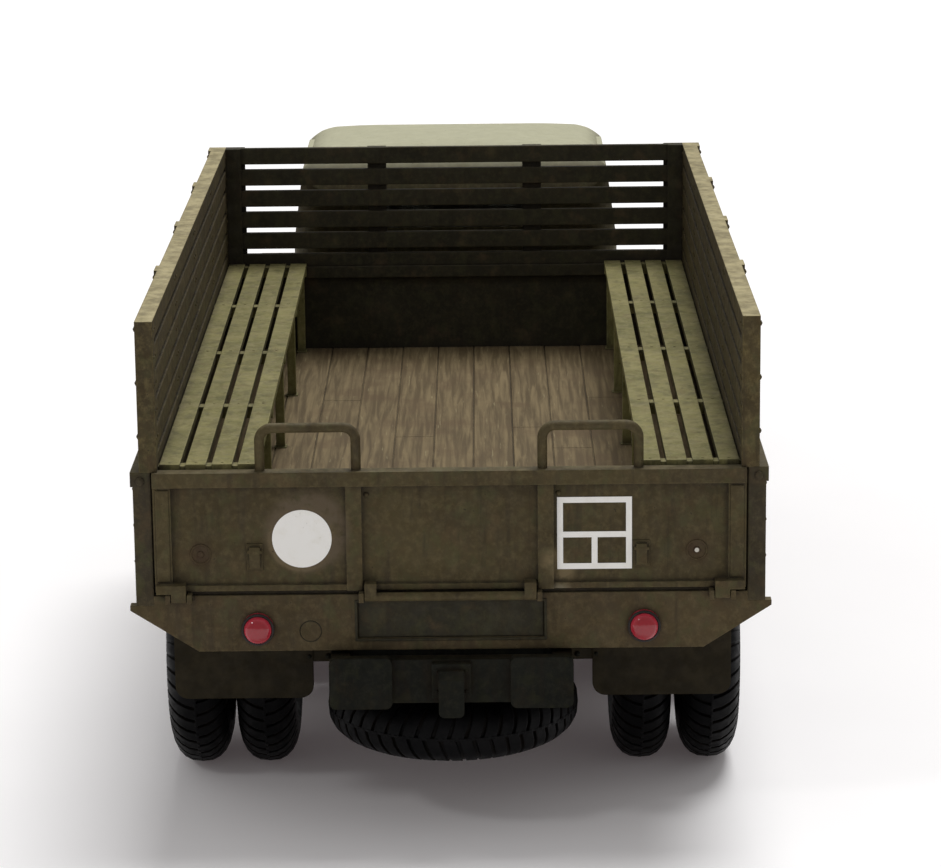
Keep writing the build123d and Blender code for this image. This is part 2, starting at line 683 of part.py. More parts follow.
def hood_form(inset):
    """The bonnet's tapering form between the cowl and the radiator."""
    # x, half width, top
    sections = [
        (cab_front, HOOD_HALF[0], HOOD_Z[1]),
        (hood_front, HOOD_HALF[1], HOOD_Z[1] - HOOD_DROP),
    ]
    with BuildPart() as form:
        for x, half, top in sections:
            y, z0, z1 = half - inset, HOOD_Z[0], top - inset
            with BuildSketch(Plane.YZ.offset(x)):
                with BuildLine():
                    Polyline((-y, z1 - 3.4), (-y, z0), (y, z0), (y, z1 - 3.4))
                    ThreePointArc((y, z1 - 3.4), (y - 0.8, z1 - 1.3), (y - 3.4, z1 - 0.5))
                    ThreePointArc((y - 3.4, z1 - 0.5), (0, z1), (-y + 3.4, z1 - 0.5))
                    ThreePointArc((-y + 3.4, z1 - 0.5), (-y + 0.8, z1 - 1.3), (-y, z1 - 3.4))
                make_face()
        loft()
    return form.part


with BuildPart() as hood:
    add(hood_form(0))
    add(hood_form(HOOD_T), mode=Mode.SUBTRACT)
    # louvres along both sides
    LOUVRES = 9
    for i in range(LOUVRES):
        x = cab_front + 7.0 + i * 2.6
        half = HOOD_HALF[0] + (HOOD_HALF[1] - HOOD_HALF[0]) * (x - cab_front) / (hood_front - cab_front)
        for side in (1, -1):
            block((x, x + 1.2), mirrored(side, half - 0.5, half + 0.35), (HOOD_Z[0] + 3.4, HOOD_Z[0] + 7.8))
save("hood", hood)

# ---------------------------------------------------------------- radiator, guard and lamps
GUARD_X = hood_front + 1.6
GUARD_HALF = 10.2
LAMP_Y, LAMP_Z, LAMP_R = 15.2, HOOD_Z[0] + 4.0, 2.4
nose_top = HOOD_Z[1] - HOOD_DROP  # the bonnet's top at the radiator
with BuildPart() as radiator:
    core_half, core_top = HOOD_HALF[1] - HOOD_T, nose_top - 4.6
    block((hood_front - 3.0, hood_front), (-core_half, core_half), (FRAME_TOP, core_top))
    block((hood_front - 3.0, hood_front), (-5.2, 5.2), (core_top - 0.2, nose_top - HOOD_T - 0.8))
save("radiator", radiator)

with BuildPart() as grille_guard:
    half, z0, z1, bar = GUARD_HALF, FRAME_TOP, nose_top + 0.8, 0.8
    block((hood_front, GUARD_X), (-half, half), (z1 - 1.2, z1))
    block((hood_front, GUARD_X), (-half, half), (z0, z0 + 1.2))
    for side in (1, -1):
        block((hood_front, GUARD_X), mirrored(side, half - 1.0, half), (z0, z1))
    for i in range(9):
        y = -8.0 + i * 2.0
        block((GUARD_X - 0.8, GUARD_X), (y - bar / 2, y + bar / 2), (z0, z1))
    # lamp guards beside the grille
    for side in (1, -1):
        for z in (LAMP_Z - 6.6, LAMP_Z + 3.6):
            block((GUARD_X + 2.2, GUARD_X + 3.0), mirrored(side, half - 1.0, 20.4), (z, z + 0.8))
            block((GUARD_X - 0.8, GUARD_X + 3.0), mirrored(side, half - 1.0, half), (z, z + 0.8))
        for i in range(6):
            y = half - 0.6 + i * 2.0
            block((GUARD_X + 2.2, GUARD_X + 3.0), mirrored(side, y, y + 0.6), (LAMP_Z - 6.6, LAMP_Z + 4.4))
save("grille_guard", grille_guard)

LAMP_POST_X, LAMP_POST_R = hood_front - 0.6, 0.6
FENDER_TOP = HOOD_Z[0]
FENDER_NOSE = (hood_front + 3.4, FENDER_TOP - 4.4)  # foot of the fender's curved front: x, z
NOSE_CURVE = 13.0  # its length


def fender_height(x):
    """The top of the fender's curved front at x."""
    drop = FENDER_TOP - FENDER_NOSE[1]
    radius = (NOSE_CURVE**2 + drop**2) / (2 * drop)
    along = x - (FENDER_NOSE[0] - NOSE_CURVE)
    return FENDER_TOP - radius + (radius**2 - along**2) ** 0.5


with BuildPart() as headlamps:
    for side in (1, -1):
        foot = fender_height(LAMP_POST_X - LAMP_POST_R) + 0.05
        rod_z(LAMP_POST_X, side * LAMP_Y, (foot, LAMP_Z), LAMP_POST_R)
        lamp_face = (hood_front + 1.6, side * LAMP_Y, LAMP_Z)
        with BuildSketch(Plane(origin=lamp_face, x_dir=(1, 0, 0), z_dir=(0, -1, 0))):
            with BuildLine():
                Polyline((-4.0, 0), (0, 0), (0, LAMP_R), (-1.2, LAMP_R))
                ThreePointArc((-1.2, LAMP_R), (-3.2, LAMP_R * 0.72), (-4.0, 0))
            make_face()
        revolve(axis=Axis((hood_front, side * LAMP_Y, LAMP_Z), (1, 0, 0)))
save("headlamps", headlamps)

# ---------------------------------------------------------------- front fenders and running boards
FENDER_IN = 9.0  # inner |y| of the fenders, below the bonnet
SLOPE_X = (front_axle_x - 11.5, front_axle_x - 17.5)  # top and foot of the fender's rear slope
for name, side in (("fender_left", 1), ("fender_right", -1)):
    with BuildPart() as fender:
        t = FENDER_T
        with BuildSketch(Plane.XZ.offset(-side * FENDER_IN)):
            with BuildLine():
                top = FENDER_TOP
                nose_x, nose_z = FENDER_NOSE
                Line((nose_x, nose_z - 1.0), (nose_x, nose_z))
                TangentArc((nose_x - NOSE_CURVE, top), (nose_x, nose_z), tangent=(1, 0))
                Line((nose_x - NOSE_CURVE, top), (SLOPE_X[0], top))
                Line((SLOPE_X[0], top), (SLOPE_X[1], BOARD_Z))
                Line((SLOPE_X[1], BOARD_Z), (cab_back + 1.0, BOARD_Z))
                Line((cab_back + 1.0, BOARD_Z), (cab_back + 1.0, BOARD_Z - t))
                Line((cab_back + 1.0, BOARD_Z - t), (SLOPE_X[1] + 0.4, BOARD_Z - t))
                Line((SLOPE_X[1] + 0.4, BOARD_Z - t), (SLOPE_X[0] + 0.5, top - t))
                Line((SLOPE_X[0] + 0.5, top - t), (nose_x - NOSE_CURVE, top - t))
                TangentArc((nose_x - NOSE_CURVE, top - t), (nose_x - t, nose_z - 1.0), tangent=(1, 0))
                Line((nose_x - t, nose_z - 1.0), (nose_x, nose_z - 1.0))
            make_face()
        extrude(amount=-side * (FENDER_W / 2 - FENDER_IN))
        # the running board starts outside the frame, and the cab's foot is clear of the slope
        # x limits, outer |y|, z limits
        cuts = [
            ((cab_back, SLOPE_X[1] - 0.6), rail_out + 1.4, (BOARD_Z - 2, BOARD_Z + 1)),
            ((SLOPE_X[1] - 1.0, SLOPE_X[0] + 1), rail_out + 0.3, (BOARD_Z - 2, FENDER_TOP - 1.5)),
            ((hood_front - 0.2, nose_x + 1), GUARD_HALF + 0.2, (nose_z - 2, top + 1)),
        ]
        for cut_x, cut_y, cut_z in cuts:
            block(cut_x, mirrored(side, FENDER_IN - 1, cut_y), cut_z, mode=Mode.SUBTRACT)
        # brackets from the frame to the running board
        for x in (cab_back + 6.0, cab_front - 4.0):
            block((x, x + 2.0), mirrored(side, rail_out, FENDER_W / 2 - 3.0), (BOARD_Z - 1.5, BOARD_Z - t))
        # apron between the running board and the cab
        apron_y = mirrored(side, CAB_W / 2 - 2.85, CAB_W / 2 - 2.15)
        block((cab_back + 1.0, cab_front - 1.0), apron_y, (BOARD_Z - t, CAB_FLOOR))
        # inner apron beside the engine
        inside = mirrored(side, rail_out - 0.7, rail_out)
        block((SLOPE_X[0] - 1.0, hood_front - 3.0), inside, (FRAME_TOP, FENDER_TOP - t / 2))
    save(name, fender)

# ---------------------------------------------------------------- cargo bed: floor and its sills
bed_x = (bed_rear, bed_front)
with BuildPart() as bed_floor:
    block((bed_rear + 1.2, bed_front), (-side_in, side_in), (floor_bottom, FLOOR_TOP))
save("bed_floor", bed_floor)

SILL_H = 3.4  # long sills on the frame, with the cross sills on them
with BuildPart() as bed_sills:
    for side in (1, -1):
        sill_y = mirrored(side, rail_in - 0.2, rail_out)
        block((bed_rear + 1.2, bed_front), sill_y, (FRAME_TOP, FRAME_TOP + SILL_H))
    for x in (bed_rear + 9.0, bogie_x, bed_front - 30.0, bed_front - 5.0):
        block((x - 1.1, x + 1.1), (-side_in + 1.0, side_in - 1.0), (FRAME_TOP + SILL_H, floor_bottom))
    for x in (rear_axle_x, mid_axle_x):
        block((x - 1.1, x + 1.1), (-rail_out - 2.0, rail_out + 2.0), (FRAME_TOP + SILL_H, floor_bottom))
save("bed_sills", bed_sills)

# ---------------------------------------------------------------- rear sill, with the gate's hinge lugs
HINGE_X = bed_rear - 0.75
HINGE_Z = GATE_BOTTOM - 0.55
HINGE_R = 0.45
PIN_R = 0.25
LUG_T = 0.5  # thickness of the sill's hinge lugs
MID_HINGE = 8.7  # half the length of the middle hinge
OUT_HINGE = (side_in - 3.35, side_in - 1.85)
# the gate's knuckle from end to end, the necks that carry it, and the plates on the gate over them
HINGES = [
    (OUT_HINGE, [OUT_HINGE], [(OUT_HINGE[0], side_in - 0.35)]),
    (
        (-OUT_HINGE[1], -OUT_HINGE[0]),
        [(-OUT_HINGE[1], -OUT_HINGE[0])],
        [(-side_in + 0.35, -OUT_HINGE[0])],
    ),
    ((-MID_HINGE, MID_HINGE), [(-MID_HINGE, 1.2 - MID_HINGE), (MID_HINGE - 1.2, MID_HINGE)], []),
]
TIP_Y = BED_W / 2 + 0.65
TIP_Z = (SILL_BOTTOM + 4.4, SILL_BOTTOM + 4.9)  # lower and upper edge of the sill's pointed ends
with BuildPart() as rear_sill:
    with BuildSketch(Plane.YZ.offset(bed_rear)):
        with BuildLine():
            Polyline(
                (TIP_Y, TIP_Z[1]),
                (TIP_Y, TIP_Z[0]),
                (TIP_Y - 6.9, SILL_BOTTOM),
                (-TIP_Y + 6.9, SILL_BOTTOM),
                (-TIP_Y, TIP_Z[0]),
                (-TIP_Y, TIP_Z[1]),
                (-side_in, TIP_Z[1]),
                (-side_in, GATE_BOTTOM - 0.5),
                (side_in, GATE_BOTTOM - 0.5),
                (side_in, TIP_Z[1]),
                close=True,
            )
        make_face()
    extrude(amount=1.2)
    beam_half, beam_bottom = rail_out + 10.0, SILL_BOTTOM + 5.4
    block((bed_rear + 1.0, bed_rear + 7.8), (-beam_half, beam_half), (beam_bottom, GATE_BOTTOM - 0.5))
    # the plain recess in the middle
    recess_z = (SILL_BOTTOM + 1.2, beam_bottom - 0.3)
    block((bed_rear - 0.1, bed_rear + 0.4), (-9.5, 9.5), recess_z, mode=Mode.SUBTRACT)
    for (y0, y1), _, _ in HINGES:
        for lo, hi in ((y0 - LUG_T - 0.1, y0 - 0.1), (y1 + 0.1, y1 + LUG_T + 0.1)):
            block((HINGE_X - HINGE_R, bed_rear), (lo, hi), (HINGE_Z - 0.5, HINGE_Z + 0.45))
            rod_y(HINGE_X, (lo - 0.1, hi + 0.1), HINGE_Z, PIN_R + 0.06, mode=Mode.SUBTRACT)
save("rear_sill", rear_sill)

# ---------------------------------------------------------------- tailgate
GATE_Y = side_in - 0.2
with BuildPart() as tailgate:
    block((bed_rear + 0.3, bed_rear + 1.0), (-GATE_Y, GATE_Y), (GATE_BOTTOM, GATE_TOP))
    block((bed_rear - 0.7, bed_rear + 1.0), (-GATE_Y, GATE_Y), (GATE_TOP - 1.5, GATE_TOP))
    ribs = [(-GATE_Y, -GATE_Y + 1.8), (-10.5, -8.9), (8.9, 10.5), (GATE_Y - 1.8, GATE_Y)]
    for y in ribs:
        block((bed_rear - 0.3, bed_rear + 0.5), y, (GATE_BOTTOM, GATE_TOP - 1.0))
    block((bed_rear - 0.1, bed_rear + 0.5), (-GATE_Y, GATE_Y), (GATE_BOTTOM, GATE_BOTTOM + 0.6))
    for (y0, y1), necks, plates in HINGES:
        rod_y(HINGE_X, (y0, y1), HINGE_Z, HINGE_R)
        rod_y(HINGE_X, (y0 - LUG_T, y1 + LUG_T), HINGE_Z, PIN_R)
        for neck in necks:
            block((HINGE_X - HINGE_R, HINGE_X + 0.3), neck, (HINGE_Z, GATE_BOTTOM + 0.4))
        for plate in necks + plates:
            block((HINGE_X - HINGE_R, bed_rear + 0.5), plate, (GATE_BOTTOM, GATE_BOTTOM + 0.9))
    # steps: two round loops that stand above the closed gate
    LOOP_Y, LOOP_TOP, LOOP_R = (9.4, 19.1), GATE_TOP + 4.4, 0.5
    for side in (1, -1):
        with BuildLine() as loop:
            x = bed_rear + 0.4
            FilletPolyline(
                (x, side * LOOP_Y[0], GATE_TOP - 0.8),
                (x, side * LOOP_Y[0], LOOP_TOP),
                (x, side * LOOP_Y[1], LOOP_TOP),
                (x, side * LOOP_Y[1], GATE_TOP - 0.8),
                radius=1.3,
            )
        with BuildSketch(Plane(origin=loop.line @ 0, z_dir=loop.line % 0)):
            Circle(LOOP_R)
        sweep(path=loop.line)
save("tailgate", tailgate)

# ---------------------------------------------------------------- bed sides and front wall
for name, side in (("bed_side_left", 1), ("bed_side_right", -1)):
    with BuildPart() as bed_side:
        block(bed_x, mirrored(side, side_in, side_in + PANEL_T), (floor_bottom - 0.4, GATE_TOP))
        block(bed_x, mirrored(side, side_in, BED_W / 2 + 0.25), (GATE_TOP - SIDE_RAIL_H, GATE_TOP))
        block(bed_x, mirrored(side, side_in, BED_W / 2), (floor_bottom - 0.4, floor_bottom + 0.8))
        for x in stations:
            block(
                (x - POST_W / 2, x + POST_W / 2),
                mirrored(side, side_in, BED_W / 2),
                (floor_bottom - 0.4, GATE_TOP - 0.5),
            )
        block((bed_rear, bed_rear + 1.6), mirrored(side, side_in, BED_W / 2), (TIP_Z[1], GATE_TOP))
    save(name, bed_side)

with BuildPart() as bed_front_wall:
    block((bed_front - PANEL_T, bed_front), (-side_in, side_in), (FLOOR_TOP, GATE_TOP))
    block((bed_front - SIDE_T, bed_front), (-side_in, side_in), (GATE_TOP - SIDE_RAIL_H, GATE_TOP))
save("bed_front_wall", bed_front_wall)

# ---------------------------------------------------------------- racks
board_pitch = BOARD_H + BOARD_GAP
# lower and upper edge of each board, from the top down, with the lowest one last
board_tops = [RACK_TOP - i * board_pitch for i in range(BOARD_COUNT)]
board_edges = [(top - BOARD_H, top) for top in board_tops]
board_edges.append((GATE_TOP, board_edges[-1][0] - BOARD_GAP))
for name, side in (("rack_left", 1), ("rack_right", -1)):
    with BuildPart() as rack:
        for i, edge_z in enumerate(board_edges):
            thick = SIDE_T if i == 0 else BOARD_T
            block(bed_x, mirrored(side, rack_in, rack_in + thick), edge_z)
        for x in stations:
            # the rearmost post is flush
            proud = 0 if x == stations[0] else POST_PROUD
            block(
                (x - POST_W / 2, x + POST_W / 2),
                mirrored(side, rack_in + BOARD_T - 0.1, rack_out + proud),
                (GATE_TOP, RACK_TOP),
            )
        for x0 in (bed_rear, bed_front - SIDE_T):
            block((x0, x0 + SIDE_T), mirrored(side, rack_in, rack_out), (GATE_TOP, RACK_TOP))
    save(name, rack)

with BuildPart() as rack_front:
    for edge_z in board_edges:
        block((bed_front - BOARD_T - 0.6, bed_front - 0.6), (-rack_in, rack_in), edge_z)
    for y in (-rack_in + 1.2, -10.0, 10.0, rack_in - 1.2):
        block((bed_front - 0.7, bed_front), (y - 1.2, y + 1.2), (GATE_TOP, RACK_TOP))
    for side in (1, -1):
        corner_y = mirrored(side, rack_in - 1.9, rack_in)
        block((bed_front - SIDE_T, bed_front - 0.2), corner_y, (GATE_TOP, RACK_TOP))
save("rack_front", rack_front)

# ---------------------------------------------------------------- slatted seats along both sides
seat_out = rack_in - 0.15
slat_gap = (SEAT_W - SLAT_COUNT * SLAT_W) / (SLAT_COUNT - 1)
for name, side in (("seat_left", 1), ("seat_right", -1)):
    with BuildPart() as seat:
        x0, x1 = bed_rear + 1.15, bed_front - SIDE_T - 0.3
        for i in range(SLAT_COUNT):
            y1 = seat_out - i * (SLAT_W + slat_gap)
            block((x0, x1), mirrored(side, y1 - SLAT_W, y1), (SEAT_TOP - SLAT_T, SEAT_TOP))
        for x in stations:
            xb = min(max(x, x0 + 0.8), x1 - 0.8)
            under = SEAT_TOP - SLAT_T
            batten_y = mirrored(side, seat_out - SEAT_W, rack_in)
            block((xb - 0.7, xb + 0.7), batten_y, (under - 0.7, SEAT_TOP - 0.2))
            leg_y = mirrored(side, seat_out - SEAT_W + 0.3, seat_out - SEAT_W + 1.3)
            block((xb - 0.5, xb + 0.5), leg_y, (FLOOR_TOP, under))
    save(name, seat)

# ---------------------------------------------------------------- tail lamps and mud flaps
LAMP = {"y": BED_W / 2 - 12.3, "z": SILL_BOTTOM + 2.4, "r": 1.4}
with BuildPart() as tail_lamps:
    for side in (1, -1):
        rod_x((bed_rear - 0.5, bed_rear), side * LAMP["y"], LAMP["z"], LAMP["r"] + 0.25)
        rod_x((bed_rear - 1.3, bed_rear - 0.4), side * LAMP["y"], LAMP["z"], LAMP["r"])
    fillet(edges().filter_by(GeomType.CIRCLE).group_by(Axis.X)[0], 0.7)
save("tail_lamps", tail_lamps)

FLAP_X = rear_axle_x - TYRE_R - 1.8
FLAP_Y = (14.8, BED_W / 2 - 2.45)
FLAP_Z = (axle_z - 1.8, floor_bottom)
with BuildPart() as mud_flaps:
    for side in (1, -1):
        y0, y1 = mirrored(side, *FLAP_Y)
        with BuildSketch(Plane.YZ.offset(FLAP_X)):
            with Locations(((y0 + y1) / 2, (FLAP_Z[0] + FLAP_Z[1]) / 2)):
                RectangleRounded(y1 - y0, FLAP_Z[1] - FLAP_Z[0], 1.4)
        extrude(amount=0.5)
        block((FLAP_X + 0.5, FLAP_X + 1.3), (y0, y1), (floor_bottom - 1.2, floor_bottom))
        stay_y = mirrored(side, rail_out, FLAP_Y[0] + 1.5)
        block((FLAP_X + 0.1, FLAP_X + 1.3), stay_y, (frame_bottom - 0.4, frame_bottom + 0.8))
save("mud_flaps", mud_flaps)

# ---------------------------------------------------------------- tank, boxes and exhaust under the bed
TANK_X = (bed_front - 30.4, bed_front - 2.0)
TANK_W, TANK_H = 12.4, 10.4
with BuildPart() as fuel_tank:
    with BuildSketch(Plane.YZ.offset(TANK_X[0])):
        with Locations((-rail_out - 2.0 - TANK_W / 2, FRAME_TOP - 2.2)):
            RectangleRounded(TANK_W, TANK_H, 2.2)
    extrude(amount=TANK_X[1] - TANK_X[0])
    for x in (TANK_X[0] + 5.0, TANK_X[1] - 6.0):
        block((x, x + 1.2), (-rail_out - 3.0, -rail_out), (FRAME_TOP - 3.4, FRAME_TOP - 0.4))
save("fuel_tank", fuel_tank)

with BuildPart() as tool_box:
    box_x, box_z = (TANK_X[0] + 4.0, TANK_X[1] - 4.0), (FRAME_TOP - 5.4, FRAME_TOP + 2.6)
    block(box_x, (rail_out, rail_out + 13.0), box_z)
save("tool_box", tool_box)

PIPE_Y, PIPE_Z = -9.0, frame_bottom - 0.9
with BuildPart() as exhaust:
    rod_x((cab_back + 2.0, cab_front + 4.0), PIPE_Y, PIPE_Z, 0.7)
    rod_x((cab_back + 6.0, cab_back + 20.0), PIPE_Y, PIPE_Z, 1.5)
    block((cab_back + 12.0, cab_back + 13.2), (PIPE_Y - 2.6, PIPE_Y + 1.0), (PIPE_Z, frame_bottom))
save("exhaust", exhaust)
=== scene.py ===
"""Looks of a 1:35 model of a six-wheel cargo truck, built on its CAD frame.

They are its paint and wear, the tyres' tread, the fasteners and the small fittings.

+X points to the truck's front, +Y to its left and +Z up. Every length here is in millimetres and turns into
metres where a mesh, light or camera is made.
"""

import math
import random

import bmesh
import bpy
from mathutils import Matrix, Vector


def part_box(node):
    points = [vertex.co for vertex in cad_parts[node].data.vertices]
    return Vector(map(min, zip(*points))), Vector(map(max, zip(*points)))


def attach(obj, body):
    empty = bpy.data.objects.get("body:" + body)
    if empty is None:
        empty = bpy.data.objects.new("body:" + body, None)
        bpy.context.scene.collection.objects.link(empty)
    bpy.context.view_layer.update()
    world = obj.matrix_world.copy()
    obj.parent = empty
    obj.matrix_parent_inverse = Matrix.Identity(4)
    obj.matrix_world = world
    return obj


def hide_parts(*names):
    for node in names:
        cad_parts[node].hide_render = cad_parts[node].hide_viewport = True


MM = 0.001
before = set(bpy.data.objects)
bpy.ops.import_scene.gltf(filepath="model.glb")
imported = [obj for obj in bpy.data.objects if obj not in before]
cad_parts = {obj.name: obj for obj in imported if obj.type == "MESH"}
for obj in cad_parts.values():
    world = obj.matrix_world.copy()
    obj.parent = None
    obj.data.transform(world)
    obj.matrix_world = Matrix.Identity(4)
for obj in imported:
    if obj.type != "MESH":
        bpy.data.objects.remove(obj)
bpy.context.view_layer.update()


def span(node):
    """A CAD node's lowest and highest corner."""
    low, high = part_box(node)
    return low / MM, high / MM


# ---------------------------------------------------------------- places and sizes
side_low, side_high = span("bed_side_left")
rack_low, rack_high = span("rack_left")
cab_low, cab_high = span("cab_body")
hood_high = span("hood")[1]
bumper_high = span("front_bumper")[1]
BED_REAR, BED_FRONT = side_low.x, side_high.x
FLOOR_TOP = span("bed_floor")[1].z
FLOOR_EDGE = 29.9  # outer ends of the floor's boards, the sill's lip and the gate's flange lips
SIDE_IN, SIDE_OUT = 30.15, 31.95  # faces of the bed's sides
GATE_FACE = BED_REAR + 0.3  # outer face of the gate's panel
POST_W = 2.9
# middles of the five posts along each side
stations = [BED_REAR + POST_W / 2 + i * (BED_FRONT - BED_REAR - POST_W) / 4 for i in range(5)]

tyre_low, tyre_high = span("tyre_front_left")
TYRE_R, TYRE_W, RIM_R = tyre_high.z / 2, tyre_high.y - tyre_low.y, 7.3
TREAD_BARS = 48  # on each shoulder
BAR_SHARE = 0.75  # of the pitch
TREAD_H = 0.45
TREAD_SLANT = 0.35  # a bar's advance round the tyre for each millimetre outwards
REAR_AXLE, MIDDLE_AXLE, FRONT_AXLE = -63.35, -31.35, 71.65
AXLE_Z = 13.2


# ---------------------------------------------------------------- colours
def srgb(r, g, b):
    """A colour written in 0-255 sRGB, as the shader takes it."""

    def linear(c):
        c /= 255
        return c / 12.92 if c <= 0.04045 else ((c + 0.055) / 1.055) ** 2.4

    return (linear(r), linear(g), linear(b), 1.0)


GRIME = srgb(34, 26, 18)
DUST = srgb(150, 138, 104)
EARTH = srgb(96, 78, 56)
GREEN = srgb(72, 72, 42)


class Shader:
    """Builds one material's nodes. A value is an output socket or a plain number or colour."""

    def __init__(self, name):
        self.material = bpy.data.materials.new(name)
        self.material.use_nodes = True
        tree = self.material.node_tree
        self.nodes, self.links = tree.nodes, tree.links
        self.nodes.clear()
        self.surface = self.node("ShaderNodeBsdfPrincipled")
        self.end = self.node("ShaderNodeOutputMaterial")
        self.links.new(self.surface.outputs[0], self.end.inputs["Surface"])
        place = self.node("ShaderNodeTexCoord").outputs["Object"]
        self.mm = self.node("ShaderNodeMapping", {"Vector": place, "Scale": (1 / MM,) * 3}).outputs[0]
        self.geometry = self.node("ShaderNodeNewGeometry")

    def node(self, kind, values=None, **settings):
        """A node with its settings and its input values or links."""
        made = self.nodes.new(kind)
        for key, value in settings.items():
            setattr(made, key, value)
        for key, value in (values or {}).items():
            if isinstance(value, bpy.types.NodeSocket):
                self.links.new(value, made.inputs[key])
            else:
                made.inputs[key].default_value = value
        return made

    def math(self, operation, a, b):
        """One operation on two values."""
        return self.node("ShaderNodeMath", {0: a, 1: b}, operation=operation).outputs[0]

    def axis(self, vector, index):
        """One coordinate of a vector: 0 is X, 1 is Y and 2 is Z."""
        return self.node("ShaderNodeSeparateXYZ", {0: vector}).outputs[index]

    def noise(self, scale, detail=4.0, stretch=(1, 1, 1), roughness=0.6, distortion=0.0):
        """Noise with that many grains a millimetre."""
        where = self.mm
        if stretch != (1, 1, 1):
            where = self.node("ShaderNodeMapping", {"Vector": self.mm, "Scale": stretch}).outputs[0]
        values = {
            "Vector": where,
            "Scale": scale,
            "Detail": detail,
            "Roughness": roughness,
            "Distortion": distortion,
        }
        return self.node("ShaderNodeTexNoise", values).outputs["Fac"]

    def ramp(self, value, low, high, top=1.0):
        """A smooth rise from 0 to top while value goes from low to high."""
        values = {"Value": value, "From Min": low, "From Max": high, "To Max": top}
        return self.node("ShaderNodeMapRange", values, interpolation_type="SMOOTHSTEP").outputs[0]

    def mix(self, amount, a, b):
        """Colour a turning into colour b."""
        made = self.node("ShaderNodeMix", {0: amount}, data_type="RGBA")
        for index, value in ((6, a), (7, b)):
            if isinstance(value, bpy.types.NodeSocket):
                self.links.new(value, made.inputs[index])
            else:
                made.inputs[index].default_value = value
        return made.outputs[2]

    def corners(self, radius):
        """The normal rounded over the edges, and how much of an edge there is."""
        soft = self.node("ShaderNodeBevel", {"Radius": radius * MM}, samples=6).outputs[0]
        values = {0: soft, 1: self.geometry.outputs["Normal"]}
        along = self.node("ShaderNodeVectorMath", values, operation="DOT_PRODUCT")
        return soft, self.math("SUBTRACT", 1.0, along.outputs["Value"])

    def hollows(self, reach):
        """How deep in a corner the point lies, from 0 in the open."""
        open_sky = self.node("ShaderNodeAmbientOcclusion", {"Distance": reach * MM}, samples=6).outputs["AO"]
        return self.math("SUBTRACT", 1.0, open_sky)

    def upwards(self):
        """How much the surface faces up."""
        return self.ramp(self.axis(self.geometry.outputs["Normal"], 2), 0.6, 0.95)

    def relief(self, height, depth, normal=None):
        """A bump of that height and depth on a normal."""
        values = {"Height": height, "Distance": depth * MM, "Strength": 1.0}
        if normal is not None:
            values["Normal"] = normal
        return self.node("ShaderNodeBump", values).outputs[0]

    def set(self, **values):
        """Links or sets the surface's inputs, named with _ for spaces."""
        for key, value in values.items():
            socket = self.surface.inputs[key.replace("_", " ")]
            if isinstance(value, bpy.types.NodeSocket):
                self.links.new(value, socket)
            else:
                socket.default_value = value


